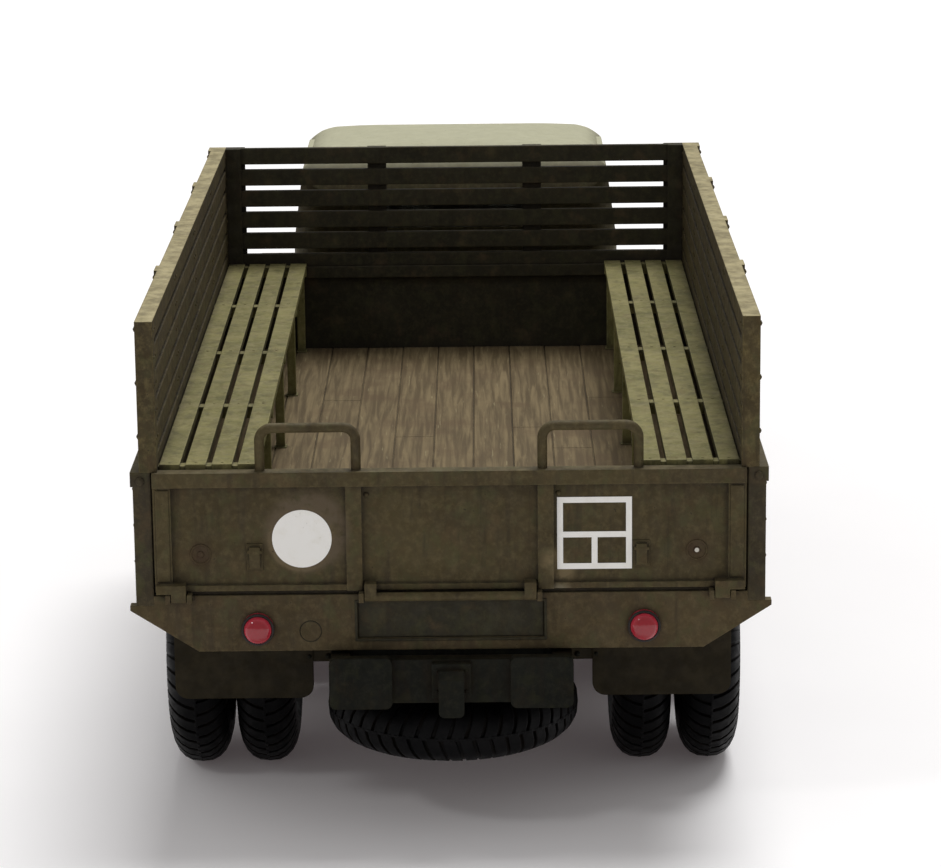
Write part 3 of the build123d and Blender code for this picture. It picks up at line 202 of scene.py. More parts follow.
def paint(
    name,
    base,
    pale,
    brushed,
    wear=0.6,
    dust=0.25,
    dust_and_light_colour=DUST,
    dust_and_top_light=0.0,
    wash=0.8,
    runs=0.35,
    rough=0.62,
    shine=0.28,
    green=0.45,
    earth=0.35,
    crown=None,
    spots=(),
):
    """Matt model paint: mottling, a dark wash in the corners, dry-brushed edges, rain runs, chips and dust.

    The even share on faces that look up is dust, and on the cab it is painted light from above; dust is the
    patchy share of dust, and the dust colour colours both. crown is the height over which they lie. spots
    are soft stains on the gate's outer face, each with its (x, y, z), inner radius, outer radius, colour and
    amount.
    """
    s = Shader(name)
    colour = s.mix(s.ramp(s.noise(0.11, 3.0), 0.36, 0.66), base, pale)
    colour = s.mix(s.ramp(s.noise(1.3, 7.0, roughness=0.7), 0.42, 0.72, 0.35), colour, brushed)
    colour = s.mix(s.ramp(s.noise(0.35, 5.0), 0.52, 0.72, earth), colour, EARTH)
    colour = s.mix(s.ramp(s.noise(0.42, 5.0, stretch=(1, 1.3, 1.1)), 0.5, 0.66, green), colour, GREEN)
    colour = s.mix(s.ramp(s.noise(0.9, 5.0, stretch=(1, 1, 0.12)), 0.5, 0.72, runs), colour, GRIME)
    hollow = s.hollows(2.2)
    stain = s.math("MULTIPLY", s.ramp(hollow, 0.12, 0.62), s.ramp(s.noise(0.8, 4.0), 0.15, 0.6))
    colour = s.mix(s.math("MULTIPLY", stain, wash), colour, GRIME)
    up = s.upwards()
    if crown is not None:
        up = s.math("MULTIPLY", up, s.ramp(s.axis(s.mm, 2), crown - 0.1, crown))
    # an even pale share on faces that look up: dust, and on the cab painted light from above
    if dust_and_top_light:
        colour = s.mix(s.math("MULTIPLY", up, dust_and_top_light), colour, dust_and_light_colour)
    lying = s.math("MULTIPLY", up, s.ramp(s.noise(0.5, 6.0, roughness=0.7), 0.34, 0.68))
    colour = s.mix(s.math("MULTIPLY", lying, dust), colour, dust_and_light_colour)
    soft, edge = s.corners(0.22)
    rim = s.math("MULTIPLY", s.ramp(edge, 0.015, 0.16), s.ramp(s.noise(1.7, 5.0, roughness=0.7), 0.38, 0.6))
    rim = s.math("MULTIPLY", rim, s.ramp(hollow, 0.55, 0.2))
    colour = s.mix(s.math("MULTIPLY", rim, wear), colour, brushed)
    if spots:
        outer_face = s.ramp(s.axis(s.mm, 0), GATE_FACE + 0.5, GATE_FACE + 0.2)
    for centre, inner, outer, stain_colour, amount in spots:
        away = s.node("ShaderNodeVectorMath", {0: s.mm, 1: centre}, operation="DISTANCE").outputs["Value"]
        patch = s.math("MULTIPLY", s.ramp(away, outer, inner), s.ramp(s.noise(0.9, 4.0), 0.2, 0.6, amount))
        colour = s.mix(s.math("MULTIPLY", patch, outer_face), colour, stain_colour)
    chip = s.ramp(s.noise(2.6, 3.0, roughness=0.5), 0.715, 0.735)
    colour = s.mix(s.math("MULTIPLY", chip, 0.75), colour, GRIME)
    gloss = s.ramp(s.noise(0.7, 4.0), 0.3, 0.7, 0.16)
    grain = s.math("ADD", s.noise(7.0, 3.0), s.math("MULTIPLY", s.noise(0.6, 4.0), 1.5))
    normal = s.relief(s.math("SUBTRACT", grain, s.math("MULTIPLY", chip, 0.6)), 0.022, soft)
    s.set(Base_Color=colour, Roughness=s.math("ADD", gloss, rough), Normal=normal, Specular_IOR_Level=shine)
    return s.material


def rubber(name, base, worn, dust=0.3, shine=0.22):
    """Dull rubber: grey worn faces, earth in the corners and fine moulded grain."""
    s = Shader(name)
    colour = s.mix(s.ramp(s.noise(0.5, 5.0), 0.35, 0.7), base, worn)
    soft, edge = s.corners(0.18)
    hollow = s.hollows(1.4)
    rim = s.math("MULTIPLY", s.ramp(edge, 0.02, 0.25), s.ramp(s.noise(1.4, 4.0), 0.4, 0.62))
    colour = s.mix(s.math("MULTIPLY", rim, 0.5), colour, worn)
    earth = s.math("MULTIPLY", s.ramp(hollow, 0.15, 0.6), s.ramp(s.noise(0.45, 5.0), 0.35, 0.62))
    colour = s.mix(s.math("MULTIPLY", earth, dust), colour, EARTH)
    gloss = s.ramp(s.noise(0.9, 5.0), 0.35, 0.7, 0.22)
    normal = s.relief(s.noise(5.0, 5.0), 0.02, soft)
    s.set(Base_Color=colour, Roughness=s.math("ADD", gloss, 0.42), Normal=normal, Specular_IOR_Level=shine)
    return s.material


def timber(name, base, grain, dark):
    """Bare worn boards: long grain along X, scratches, grime at the joints and a few pale scrapes."""
    s = Shader(name)
    fibre = s.noise(1.6, 6.0, stretch=(0.05, 1, 1), distortion=0.6)
    colour = s.mix(s.ramp(fibre, 0.35, 0.68), base, grain)
    colour = s.mix(s.ramp(s.noise(0.16, 4.0), 0.45, 0.7, 0.6), colour, EARTH)
    scrape = s.ramp(s.noise(3.2, 3.0, stretch=(0.06, 1, 1)), 0.66, 0.7, 0.55)
    colour = s.mix(scrape, colour, DUST)
    colour = s.mix(s.ramp(s.hollows(1.6), 0.15, 0.6, 0.85), colour, dark)
    soft, edge = s.corners(0.16)
    colour = s.mix(s.ramp(edge, 0.03, 0.25, 0.4), colour, grain)
    normal = s.relief(fibre, 0.05, soft)
    rough = s.math("ADD", s.ramp(fibre, 0.2, 0.8, 0.2), 0.62)
    s.set(Base_Color=colour, Roughness=rough, Normal=normal, Specular_IOR_Level=0.25)
    return s.material


def metal(name, base, bright, amount=0.5, rust=0.3):
    """Dark steel with bright rubbed edges and some rust."""
    s = Shader(name)
    colour = s.mix(s.ramp(s.noise(0.8, 6.0), 0.35, 0.7), base, GRIME)
    colour = s.mix(s.ramp(s.noise(0.6, 7.0, roughness=0.75), 0.5, 0.68, rust), colour, srgb(104, 58, 30))
    soft, edge = s.corners(0.2)
    rim = s.math("MULTIPLY", s.ramp(edge, 0.02, 0.2), s.ramp(s.noise(2.0, 4.0), 0.36, 0.56))
    colour = s.mix(s.math("MULTIPLY", rim, amount), colour, bright)
    normal = s.relief(s.noise(4.0, 5.0), 0.025, soft)
    rough = s.math("ADD", s.ramp(s.noise(1.1, 4.0), 0.3, 0.7, 0.25), 0.42)
    s.set(Base_Color=colour, Roughness=rough, Normal=normal, Metallic=0.35)
    return s.material


def marking(name, base):
    """White marking paint, a little yellowed, scuffed through to the olive below."""
    s = Shader(name)
    colour = s.mix(s.ramp(s.noise(0.7, 5.0), 0.45, 0.8, 0.35), base, srgb(232, 228, 214))
    grain = s.ramp(s.noise(2.4, 6.0, roughness=0.75), 0.62, 0.7)
    scuff = s.math("MULTIPLY", grain, s.ramp(s.noise(0.2, 2.0), 0.5, 0.62))
    colour = s.mix(scuff, colour, srgb(84, 80, 56))
    normal = s.relief(s.noise(6.0, 3.0), 0.015)
    rough = s.math("ADD", s.ramp(s.noise(1.0, 3.0), 0.3, 0.7, 0.15), 0.55)
    s.set(Base_Color=colour, Roughness=rough, Normal=normal)
    return s.material


def clear(name, tint, film):
    """Clear plastic with a thin film of dust and smears."""
    s = Shader(name)
    smear = s.ramp(s.noise(0.35, 6.0, stretch=(1, 1, 0.4)), 0.35, 0.75, film)
    s.set(Base_Color=s.mix(smear, tint, DUST), Roughness=s.math("ADD", smear, 0.04), IOR=1.46)
    s.set(Transmission_Weight=1.0, Normal=s.relief(s.noise(0.5, 3.0), 0.01))
    return s.material


def gem(name, deep, light):
    """A red moulded lens that looks to the rear: glossy, deep in its middle, with a painted sheen lighter
    towards its edge and painted shade darker in its hollows by the rim.
    """
    s = Shader(name)
    facets = s.noise(0.9, 3.0)
    # painted sheen: lighter towards the edge, where the lens turns away from the rear
    ahead = s.axis(s.geometry.outputs["Normal"], 0)
    ring = s.ramp(s.math("ADD", ahead, s.math("MULTIPLY", facets, 0.2)), -0.85, -0.3)
    colour = s.mix(ring, deep, light)
    # painted shade: darker in the hollows by the rim
    colour = s.mix(s.ramp(s.hollows(1.2), 0.3, 0.8, 0.7), colour, GRIME)
    s.set(Base_Color=colour, Roughness=s.math("ADD", s.ramp(facets, 0.1, 0.9, 0.1), 0.06), IOR=1.5)
    s.set(Normal=s.relief(facets, 0.03), Coat_Weight=0.12, Coat_Roughness=0.05, Subsurface_Weight=0.15)
    s.set(Subsurface_Radius=(0.001, 0.0004, 0.0004), Subsurface_Scale=1.0)
    return s.material


def floor_paper(name):
    """Plain pale paper. Seen straight by the camera it is white, and it keeps the shadow."""
    s = Shader(name)
    rays = s.node("ShaderNodeLightPath")
    seen = s.math("MAXIMUM", rays.outputs["Is Camera Ray"], rays.outputs["Is Glossy Ray"])
    seen = s.math("MAXIMUM", seen, rays.outputs["Is Transmission Ray"])
    fibre = s.mix(s.ramp(s.noise(0.02, 3.0), 0.3, 0.7), srgb(252, 251, 251), srgb(255, 254, 254))
    glow = s.mix(seen, (0.0, 0.0, 0.0, 1.0), (0.045, 0.037, 0.038, 1.0))
    s.set(Base_Color=s.mix(seen, srgb(226, 222, 220), fibre), Roughness=0.9, Specular_IOR_Level=0.0)
    s.set(Emission_Color=glow, Emission_Strength=1.0)
    return s.material


# places on the gate's outer face, as (y, z)
DISC, DISC_R = (15.0, 32.65), 3.02
LEFT_RING, RIGHT_RING = (25.3, 31.1), (-25.0, 31.1)

SCUFF = srgb(112, 98, 70)
RING_STAIN = srgb(62, 44, 28)
GATE_SPOTS = [
    ((BED_REAR, *DISC), 3.15, 3.7, SCUFF, 1.6),  # round the white disc
    ((BED_REAR, 14.4, 33.4), 3.3, 4.9, srgb(92, 80, 62), 1.2),
    ((BED_REAR, -10.4, 30.3), 0.3, 1.7, SCUFF, 1.1),  # smears beside and under the grid
    ((BED_REAR, -11.5, 28.9), 0.3, 1.6, SCUFF, 1.3),
    ((BED_REAR, -11.2, 26.6), 0.3, 1.6, srgb(150, 142, 120), 0.7),
    ((BED_REAR, *LEFT_RING), 0.3, 2.2, RING_STAIN, 0.8),
    ((BED_REAR, *RIGHT_RING), 0.3, 2.2, RING_STAIN, 0.8),
    ((GATE_FACE - 0.14, *RIGHT_RING), 0.14, 0.26, srgb(214, 210, 200), 3.0),  # a small near-white spot on the pin's tip
]
OLIVE = paint(
    "olive_paint",
    srgb(64, 53, 32),
    srgb(74, 62, 38),
    srgb(116, 102, 70),
    wear=0.5,
    dust=0.16,
    dust_and_top_light=0.14,
)
SIDES = paint(
    "side_paint",
    srgb(47, 40, 25),
    srgb(56, 48, 31),
    srgb(100, 90, 62),
    wear=0.5,
    dust=0.2,
    dust_and_top_light=0.14,
)
GATE = paint(
    "gate_paint",
    srgb(64, 54, 31),
    srgb(73, 63, 37),
    srgb(116, 104, 70),
    wear=0.5,
    dust=0.2,
    runs=0.4,
    spots=GATE_SPOTS,
)
# a darker copy of the olive paint: painted shade for the bed's front wall and front rack, and the rear
# sill's recess
OLIVE_PAINTED_SHADE = paint(
    "olive_painted_shade",
    srgb(36, 33, 20),
    srgb(46, 42, 27),
    srgb(76, 70, 46),
    wear=0.35,
    dust=0.1,
    green=0.2,
)
RACK = paint(
    "rack_paint",
    srgb(59, 49, 26),
    srgb(71, 60, 33),
    srgb(136, 122, 80),
    wear=0.5,
    dust=0.9,
    dust_and_light_colour=srgb(180, 168, 128),
    dust_and_top_light=0.4,
    crown=rack_high.z - 0.2,
)
SAGE = paint(
    "seat_paint",
    srgb(109, 105, 61),
    srgb(131, 125, 77),
    srgb(166, 158, 112),
    dust=0.3,
    wash=0.9,
)
# the cab's pale roof is painted light from above: an even pale veil over its faces that look up, with some
# patchy dust
CAB = paint(
    "cab_paint",
    srgb(67, 58, 35),
    srgb(78, 70, 43),
    srgb(124, 116, 78),
    dust=0.35,
    dust_and_light_colour=srgb(192, 190, 161),
    dust_and_top_light=0.78,
    crown=cab_high.z - 3.4,
)
CHASSIS = paint(
    "chassis_paint",
    srgb(17, 18, 14),
    srgb(23, 24, 19),
    srgb(48, 47, 38),
    wear=0.25,
    dust=0.1,
    dust_and_light_colour=EARTH,
    rough=0.5,
    shine=0.08,
    green=0.1,
    earth=0.06,
)
TYRE = rubber("tyre_rubber", srgb(3, 3, 4), srgb(12, 11, 12), dust=0.05, shine=0.08)
FLAP = rubber("flap_rubber", srgb(38, 33, 22), srgb(51, 45, 32), dust=0.2, shine=0.08)
BOARDS = timber("bed_boards", srgb(92, 78, 54), srgb(128, 112, 82), srgb(38, 30, 20))
STEEL = metal("worn_steel", srgb(60, 58, 54), srgb(170, 164, 152))
EXHAUST = metal("rusty_steel", srgb(74, 56, 42), srgb(140, 110, 84), amount=0.3, rust=0.85)
BLACK = metal("black_iron", srgb(30, 29, 28), srgb(84, 80, 74), amount=0.4, rust=0.15)
WHITE = marking("white_marking", srgb(253, 252, 248))
GLASS = clear("clear_window", srgb(236, 240, 236), 0.25)
LENS = clear("lamp_glass", srgb(238, 238, 232), 0.12)
RED = gem("red_lens", srgb(150, 20, 34), srgb(196, 58, 74))
CANVAS = timber("seat_canvas", srgb(96, 88, 60), srgb(120, 110, 78), srgb(44, 36, 24))

# each material and the CAD nodes that wear it
DRESS = [
    (OLIVE, "front_bumper grille_guard hood fender_left fender_right fuel_tank tool_box rear_sill"),
    # painted shade on the front wall and front rack
    (OLIVE_PAINTED_SHADE, "bed_front_wall rack_front"),
    (SIDES, "bed_side_left bed_side_right"),
    (GATE, "tailgate"),
    (RACK, "rack_left rack_right"),
    (SAGE, "seat_left seat_right"),
    (CAB, "cab_body door_left door_right"),
    (CHASSIS, "frame axle_front axle_middle axle_rear springs_front bogie_springs"),
    (CHASSIS, "knuckle_left knuckle_right tie_rod transfer_case propeller_shafts"),
    (CHASSIS, "bed_sills bumperettes pintle_hook"),
    (OLIVE, "wheel_front_left wheel_front_right spare_wheel headlamps"),
    (OLIVE, "wheels_middle_left wheels_middle_right wheels_rear_left wheels_rear_right"),
    (BOARDS, "bed_floor"),
    (FLAP, "mud_flaps"),
    (BLACK, "radiator engine_and_gearbox dashboard_and_wheel"),
    (EXHAUST, "exhaust"),
    (GLASS, "cab_glass"),
    (RED, "tail_lamps"),
    (CANVAS, "cab_seat"),
    (TYRE, "tyre_front_left tyre_front_right spare_tyre"),
    (TYRE, "tyres_middle_left tyres_middle_right tyres_rear_left tyres_rear_right"),
]
for material, names in DRESS:
    for name in names.split():
        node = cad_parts[name]
        node.data.materials.clear()
        node.data.materials.append(material)


# ---------------------------------------------------------------- small solids gathered into one mesh
class Bits:
    """Collects small solids into one piece that rides on a body."""

    def __init__(self):
        self.mesh = bmesh.new()

    def box(self, x, y, z):
        """A box between two limits on each axis."""
        points = [(x[i], y[j], z[k]) for i in (0, 1) for j in (0, 1) for k in (0, 1)]
        corners = [self.mesh.verts.new(Vector(p) * MM) for p in points]
        for face in ((0, 1, 3, 2), (4, 6, 7, 5), (0, 4, 5, 1), (2, 3, 7, 6), (0, 2, 6, 4), (1, 5, 7, 3)):
            self.mesh.faces.new([corners[i] for i in face])

    def turned(self, start, along, profile, steps=20):
        """A turned form: profile gives (distance along the axis, radius) from one end to the other."""
        along = Vector(along).normalized()
        across = along.orthogonal().normalized()
        other = along.cross(across)
        rings = []
        for distance, radius in profile:
            centre = Vector(start) + along * distance
            ring = []
            for i in range(steps):
                a = 2 * math.pi * i / steps
                out = across * math.cos(a) + other * math.sin(a)
                ring.append(self.mesh.verts.new((centre + out * radius) * MM))
            rings.append(ring)
        for low, high in zip(rings, rings[1:]):
            for i in range(steps):
                j = (i + 1) % steps
                self.mesh.faces.new((low[i], low[j], high[j], high[i]))
        self.mesh.faces.new(rings[0][::-1])
        self.mesh.faces.new(rings[-1])

    def rod(self, start, end, radius, steps=14):
        """A round bar between two points."""
        run = Vector(end) - Vector(start)
        self.turned(start, run, [(0, radius), (run.length, radius)], steps)

    def rivet(self, at, along, radius=0.28, height=0.16):
        """A domed rivet head."""
        self.turned(at, along, [(-0.05, radius), (height * 0.5, radius * 0.92), (height, radius * 0.5)], 10)

    def bolt(self, at, along, radius=0.42, height=0.34):
        """A hexagon head with its washer and a rounded bolt end."""
        self.turned(at, along, [(-0.05, radius * 1.25), (0.07, radius * 1.25)], 16)
        self.turned(at, along, [(0.05, radius), (height * 0.85, radius), (height, radius * 0.88)], 6)
        self.turned(at, along, [(height * 0.8, radius * 0.5), (height * 1.35, radius * 0.4)], 10)

    def ring(self, at, along, radius, wire, steps=28, around=8):
        """A ring of round wire whose axis is along."""
        along = Vector(along).normalized()
        across = along.orthogonal().normalized()
        other = along.cross(across)
        loops = []
        for i in range(steps):
            a = 2 * math.pi * i / steps
            out = across * math.cos(a) + other * math.sin(a)
            loop = []
            for j in range(around):
                b = 2 * math.pi * j / around
                point = Vector(at) + out * (radius + wire * math.cos(b)) + along * wire * math.sin(b)
                loop.append(self.mesh.verts.new(point * MM))
            loops.append(loop)
        for i in range(steps):
            near, far = loops[i], loops[(i + 1) % steps]
            for j in range(around):
                k = (j + 1) % around
                self.mesh.faces.new((near[j], far[j], far[k], near[k]))

    def tube(self, points, radius, steps=10):
        """A bent round wire through points, with a ball at each bend."""
        for start, end in zip(points, points[1:]):
            self.rod(start, end, radius, steps)
        for point in points[1:-1]:
            place = Matrix.Translation(Vector(point) * MM)
            bmesh.ops.create_uvsphere(
                self.mesh, u_segments=steps, v_segments=6, radius=radius * MM, matrix=place
            )

    def piece(self, name, material, body, edge=0.06, smooth=35, stands_for=()):
        """Makes the object, rounds its sharp edges a little and lets it ride on its body."""
        bmesh.ops.recalc_face_normals(self.mesh, faces=self.mesh.faces)
        data = bpy.data.meshes.new(name)
        self.mesh.to_mesh(data)
        self.mesh.free()
        data.materials.append(material)
        data.shade_smooth()
        made = bpy.data.objects.new(name, data)
        bpy.context.collection.objects.link(made)
        if edge:
            bevel = made.modifiers.new("edges", "BEVEL")
            bevel.width, bevel.segments = edge * MM, 2
            bevel.limit_method, bevel.angle_limit = "ANGLE", math.radians(smooth)
            bevel.harden_normals = True
        else:
            data.set_sharp_from_angle(angle=math.radians(smooth))
        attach(made, body)
        if stands_for:
            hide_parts(*stands_for)


def circle(x, z, radius, count, first=0.0):
    """Places evenly round an axle at (x, z), from that many degrees on."""
    turns = [math.radians(360 / count * i + first) for i in range(count)]
    return [(x + radius * math.cos(a), z + radius * math.sin(a)) for a in turns]


def border(ys, zs, bar):
    """Limits across and up of the four bars round an upright field."""
    (y0, y1), (z0, z1) = ys, zs
    return [
        ((y0, y1), (z1 - bar, z1)),
        ((y0, y1), (z0, z0 + bar)),
        ((y0, y0 + bar), (z0 + bar, z1 - bar)),
        ((y1 - bar, y1), (z0 + bar, z1 - bar)),
    ]


# ---------------------------------------------------------------- tyres
def tyre(bits, centre, axle):
    """One tyre with slanting, staggered tread bars round both shoulders, its axis along axle."""
    half = TYRE_W / 2
    tread = TYRE_R - TREAD_H
    # distance from the tyre's middle and radius, from the crown down one side to the bead
    section = [
        (0.0, tread),
        (0.34 * half, tread - 0.1),
        (0.58 * half, tread - 0.45),
        (0.76 * half, tread - 1.05),
        (0.88 * half, tread - 1.75),
        (0.96 * half, tread - 2.5),
        (half, RIM_R + 2.2),
        (half - 0.04, RIM_R + 1.7),
        (half - 0.02, RIM_R + 1.55),
        (half - 0.16, RIM_R + 1.4),
        (half - 0.45, RIM_R + 0.8),
        (half - 0.8, RIM_R + 0.3),
        (half - 1.07, RIM_R + 0.02),
    ]
    axle = Vector(axle).normalized()
    across = axle.orthogonal().normalized()
    other = axle.cross(across)
    centre = Vector(centre)

    def at(w, r, a):
        """The point that far from the tyre's middle, at radius r and turned by a."""
        return (centre + axle * w + (across * math.cos(a) + other * math.sin(a)) * r) * MM

    profile = [(-w, r) for w, r in reversed(section)] + section[1:]
    steps = 92
    turns = [2 * math.pi * i / steps for i in range(steps)]
    rings = [[bits.mesh.verts.new(at(w, r, a)) for a in turns] for w, r in profile]
    for low, high in zip(rings, rings[1:] + rings[:1]):
        for i in range(steps):
            j = (i + 1) % steps
            bits.mesh.faces.new((low[i], low[j], high[j], high[i]))
    # a bar's outline over the shoulder, then back inside the carcass: distance from the middle, radius
    bar = [
        (-0.12, TYRE_R),
        (0.33 * half, TYRE_R - 0.1),
        (0.58 * half, TYRE_R - 0.5),
        (0.77 * half, TYRE_R - 1.15),
        (0.9 * half, TYRE_R - 1.95),
        (0.98 * half, TYRE_R - 2.9),
        (0.92 * half, TYRE_R - 3.3),
        (0.72 * half, tread - 1.2),
        (0.36 * half, tread - 0.3),
        (-0.12, tread - 0.2),
    ]
    width = 2 * math.pi * TYRE_R / TREAD_BARS * BAR_SHARE
    for side in (1, -1):
        for n in range(TREAD_BARS):
            turn = 2 * math.pi * (n + (0.25 if side > 0 else 0.75)) / TREAD_BARS
            loops = []
            for edge in (-0.5, 0.5):
                loop = []
                for w, r in bar:
                    slant = TREAD_SLANT * max(w, 0) / TYRE_R
                    loop.append(bits.mesh.verts.new(at(side * w, r, turn + edge * width / TYRE_R + slant)))
                loops.append(loop)
            count = len(loops[0])
            for i in range(count):
                j = (i + 1) % count
                bits.mesh.faces.new((loops[0][i], loops[0][j], loops[1][j], loops[1][i]))
            bits.mesh.faces.new(loops[0][::-1])
            bits.mesh.faces.new(loops[1])


# each CAD node of a tyre or a pair of tyres, and the body it rides on
TYRES = [
    ("tyre_front_left", "front_wheel_left"),
    ("tyre_front_right", "front_wheel_right"),
    ("tyres_middle_left", "middle_wheels_left"),
    ("tyres_middle_right", "middle_wheels_right"),
    ("tyres_rear_left", "rear_wheels_left"),
    ("tyres_rear_right", "rear_wheels_right"),
]
for node, body in TYRES:
    low, high = span(node)
    middle = (low + high) / 2
    bits = Bits()
    if high.y - low.y > TYRE_W * 1.5:  # a pair
        for y in (low.y + TYRE_W / 2, high.y - TYRE_W / 2):
            tyre(bits, (middle.x, y, middle.z), (0, 1, 0))
    else:
        tyre(bits, middle, (0, 1, 0))
    bits.piece(f"{node}_tread", TYRE, body, edge=0, smooth=40, stands_for=[node])
low, high = span("spare_tyre")
bits = Bits()
tyre(bits, (low + high) / 2, (0, 0, 1))
bits.piece("spare_tyre_tread", TYRE, "chassis", edge=0, smooth=40, stands_for=["spare_tyre"])

# wheel nuts and hub bolts
NUT_CIRCLE, CAP_CIRCLE = 3.0, 1.4
FRONT_DISH, DUAL_DISH, DUAL_HUB = 2.0, -1.2, 1.4  # outwards from the middle of the outer tyre
for node, body in TYRES:
    low, high = span(node)
    middle = (low + high) / 2
    side = 1 if middle.y > 0 else -1
    front = node.startswith("tyre_front")
    outer_tyre = side * (max(abs(low.y), abs(high.y)) - TYRE_W / 2)
    wheel_low, wheel_high = span(node.replace("tyre", "wheel"))
    bits = Bits()
    # the disc between the hub and the hand holes
    face = outer_tyre + side * (FRONT_DISH if front else DUAL_DISH)
    for x, z in circle(middle.x, middle.z, NUT_CIRCLE, 6):
        bits.bolt((x, face, z), (0, side, 0), 0.4, 0.5)
    hub = side * max(abs(wheel_low.y), abs(wheel_high.y)) if front else outer_tyre + side * DUAL_HUB
    for x, z in circle(middle.x, middle.z, CAP_CIRCLE, 8, 22.5):
        bits.rivet((x, hub, z), (0, side, 0), 0.2, 0.1)
    bits.piece(f"{node.replace('tyre', 'wheel')}_nuts", STEEL, body, edge=0)

# ---------------------------------------------------------------- tailgate
OUT = (-1, 0, 0)  # to the rear
bits = Bits()
for y, z in (LEFT_RING, RIGHT_RING):
    bits.ring((GATE_FACE, y, z), OUT, 1.0, 0.12)
    bits.rivet((GATE_FACE, y, z), OUT, 0.4, 0.14)
# a bracket with its pin on each end panel
for y in (19.8, -19.4):
    bits.box((GATE_FACE - 0.12, GATE_FACE), (y - 0.85, y + 0.85), (29.4, 32.2))
    bits.box((GATE_FACE - 0.55, GATE_FACE - 0.1), (y - 0.55, y + 0.55), (29.7, 31.9))
    bits.rod((GATE_FACE - 0.35, y - 0.75, 31.4), (GATE_FACE - 0.35, y + 0.75, 31.4), 0.2)
# folded lips along the gate's end flanges, and the small pin heads beside the ribs
for side in (1, -1):
    y0, y1 = sorted((side * 28.15, side * FLOOR_EDGE))
    bits.box((BED_REAR - 0.42, BED_REAR - 0.28), (y0 + 0.2, y1 - 0.2), (28.4, 38.0))
for y in (-11.0, 8.4):
    bits.rivet((GATE_FACE, y, 37.2), OUT, 0.3, 0.2)
bits.piece("tailgate_fittings", GATE, "tailgate", edge=0.05)

# the white disc, and the empty white grid with its level bar and its lower upright
GRID_Y, GRID_Z, GRID_BAR = (-18.42, -10.85), (29.2, 36.75), 0.6
bits = Bits()
bits.turned((GATE_FACE, *DISC), OUT, [(-0.02, DISC_R), (0.05, DISC_R)], 72)
ym, zm = sum(GRID_Y) / 2, sum(GRID_Z) / 2 - 0.15
for ys, zs in (
    *border(GRID_Y, GRID_Z, GRID_BAR),
    ((GRID_Y[0] + GRID_BAR, GRID_Y[1] - GRID_BAR), (zm - GRID_BAR / 2, zm + GRID_BAR / 2)),
    ((ym - GRID_BAR / 2, ym + GRID_BAR / 2), (GRID_Z[0] + GRID_BAR, zm - GRID_BAR / 2)),
):
    bits.box((GATE_FACE - 0.05, GATE_FACE + 0.02), ys, zs)
bits.piece("tailgate_markings", WHITE, "tailgate", edge=0)

# the lip along the sill's top, the apron below the floor's rear edge, and the pins at the corner posts' tops
bits = Bits()
bits.box((BED_REAR + 0.4, BED_REAR + 0.78), (-FLOOR_EDGE, FLOOR_EDGE), (26.75, 27.18))
bits.box((BED_REAR + 1.11, BED_REAR + 1.22), (-SIDE_IN, SIDE_IN), (26.7, FLOOR_TOP - 0.05))
for side in (1, -1):
    bits.turned((BED_REAR, side * 31.2, 38.9), OUT, [(-0.05, 0.42), (0.15, 0.42), (0.25, 0.25)], 16)
bits.piece("corner_post_pins", SIDES, "chassis", edge=0)

# ---------------------------------------------------------------- rear sill
SILL_RING = (14.3, 22.95)
RECESS_Y, RECESS_Z, RECESS_BORDER = (-9.75, 9.75), (21.85, 26.2), 0.25
bits = Bits()
bits.ring((BED_REAR + 0.03, *SILL_RING), OUT, 1.1, 0.07)
# the recess's plate and its thin border, in the darker olive of painted shade
bits.box((BED_REAR + 0.3, BED_REAR + 0.43), (-9.45, 9.45), (22.15, 25.95))
for ys, zs in border(RECESS_Y, RECESS_Z, RECESS_BORDER):
    bits.box((BED_REAR - 0.1, BED_REAR + 0.1), ys, zs)
bits.piece("rear_sill_fittings", OLIVE_PAINTED_SHADE, "chassis", edge=0.04)

TAIL_LAMP_HALF = 1.65  # from a lamp's outer side to its middle
TAIL_LAMP_DOME = [
    (0.5, 1.41),
    (0.8, 1.39),
    (1.07, 1.26),
    (1.27, 1.02),
    (1.4, 0.68),
    (1.46, 0.34),
    (1.48, 0.08),
]
low, high = span("tail_lamps")
tail_y, tail_z = high.y - TAIL_LAMP_HALF, (low.z + high.z) / 2
bits = Bits()
for side in (1, -1):
    bits.ring((BED_REAR - 0.5, side * tail_y, tail_z), OUT, 1.52, 0.17, steps=40)
bits.piece("tail_lamp_rims", BLACK, "chassis", edge=0)
bits = Bits()
for side in (1, -1):
    bits.turned((BED_REAR, side * tail_y, tail_z), OUT, TAIL_LAMP_DOME, 40)
bits.piece("tail_lamp_lenses", RED, "chassis", edge=0, smooth=60)

